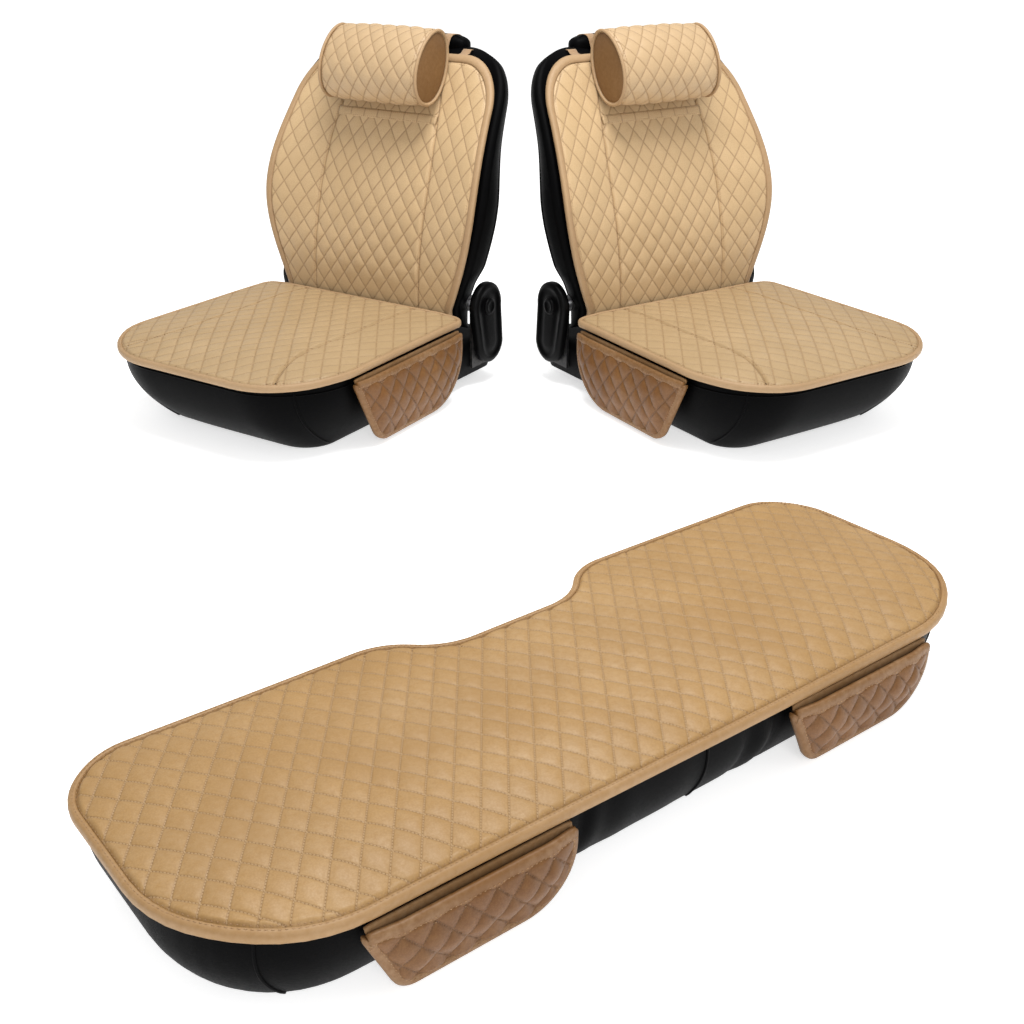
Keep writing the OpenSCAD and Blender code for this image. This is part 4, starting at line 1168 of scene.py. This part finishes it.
for side in ("left", "right"):
    bodies = {"rest": "seat_bases", "tilt": side + "_backrest", "pillow": side + "_pillow"}
    for name, part, finish, rides, node, slot, full in seatPieces:
        replaced = [side + "_" + node] if node else ()
        makePiece(side + name, part, places[side], finish, bodies[rides], replaced)
for side, way in (("left", -1), ("right", 1)):
    addPocket(side + "SidePocket", sidePocket, places[side], side + "_pocket", side + "_")
    part = hangingPocket(pocketSizes["bench"], benchPocketSpot(way))
    addPocket(side + "BenchPocket", part, places["bench"], "bench_" + side + "_pocket", "bench_" + side + "_")
benchParts = benchCover()
for name, part, finish, replaced, slot, full in (
        ("benchUpholstery", benchBase(), black, ["bench_base"], "seat_leather", 0.9),
        ("benchTop", benchParts["top"], leathers["benchTop"], ["bench_cover"], "quilt_side", 0.8),
        ("benchTape", benchParts["tape"], finishes["benchTape"], ["bench_binding"], "binding_tape", None),
        ("benchThreads", benchParts["threads"], threadMaterial, (), "binding_tape", None)):
    makePiece(name, part, places["bench"], finish, "seat_bases", replaced)
print("pockets and bench placed")

cadFinish = {"recliner_brackets": "steel", "bracket_bolts": "bareSteel", "recliner_pins": "bareSteel",
             "anchor_straps": "darkWebbing", "anchor_tubes": "blackPlastic", "bench_anchors": "darkWebbing"}
for name, node in frame["nodes"].items():
    for ending, finish in cadFinish.items():
        if name.endswith(ending):
            node.data.materials.clear()
            node.data.materials.append(finishes[finish])


# Floor, light and camera
def floorMaterial():
    material, tree, shader = newMaterial("paleFloor", Specular_IOR_Level=0.1, Roughness=0.9,
                                         Emission_Color=(1, 1, 1), Emission_Strength=0.62)
    patches = noise(tree, objectSpot(tree), 0.7)
    settle(tree, shader, Base_Color=mixColour(tree, patches, (0.86, 0.86, 0.86), (0.88, 0.88, 0.88)))
    return material


floorMesh = bpy.data.meshes.new("floor")
floorMesh.from_pydata([(-30, -20, 0), (30, -20, 0), (30, 40, 0), (-30, 40, 0)], [], [(0, 1, 2, 3)])
floorMesh.materials.append(floorMaterial())
floor = bpy.data.objects.new("floor", floorMesh)
floor.location.z = -0.0006
bpy.context.scene.collection.objects.link(floor)

lights = {"overhead": {"at": (0.2, 0.1, 3.4), "aim": (0, -0.1, 0.2), "size": 1.8, "power": 120},
          "frontFill": {"at": (0.5, -4.4, 2.6), "aim": (0, 0, 0.3), "size": 2.0, "power": 62},
          "sideFill": {"at": (3.6, -1.6, 1.6), "aim": (0, 0, 0.3), "size": 2.0, "power": 10}}
for name, setting in lights.items():
    lamp = bpy.data.lights.new(name, "AREA")
    lamp.shape, lamp.size, lamp.energy = "DISK", setting["size"], setting["power"]
    holder = bpy.data.objects.new(name, lamp)
    holder.location = setting["at"]
    aim = np.array(setting["aim"], float) - setting["at"]
    holder.rotation_euler = (atan2(hypot(aim[0], aim[1]), -aim[2]), 0, atan2(aim[1], aim[0]) - pi / 2)
    bpy.context.scene.collection.objects.link(holder)

world = bpy.data.worlds.new("paleStudio")
world.use_nodes = True
world.node_tree.nodes["Background"].inputs["Color"].default_value = (1, 1, 1, 1)
world.node_tree.nodes["Background"].inputs["Strength"].default_value = 0.55
bpy.context.scene.world = world
bpy.context.scene.view_settings.view_transform = "Standard"

camera = {"at": (-0.018, -2.2351, 1.109), "down": 25.87, "lens": 45.24}
lens = bpy.data.cameras.new("studioCamera")
lens.lens, lens.sensor_width = camera["lens"], 36
studio = bpy.data.objects.new("studioCamera", lens)
studio.location = camera["at"]
studio.rotation_euler = (radians(90 - camera["down"]), 0, 0)
bpy.context.scene.collection.objects.link(studio)
bpy.context.scene.camera = studio
print("studio ready")
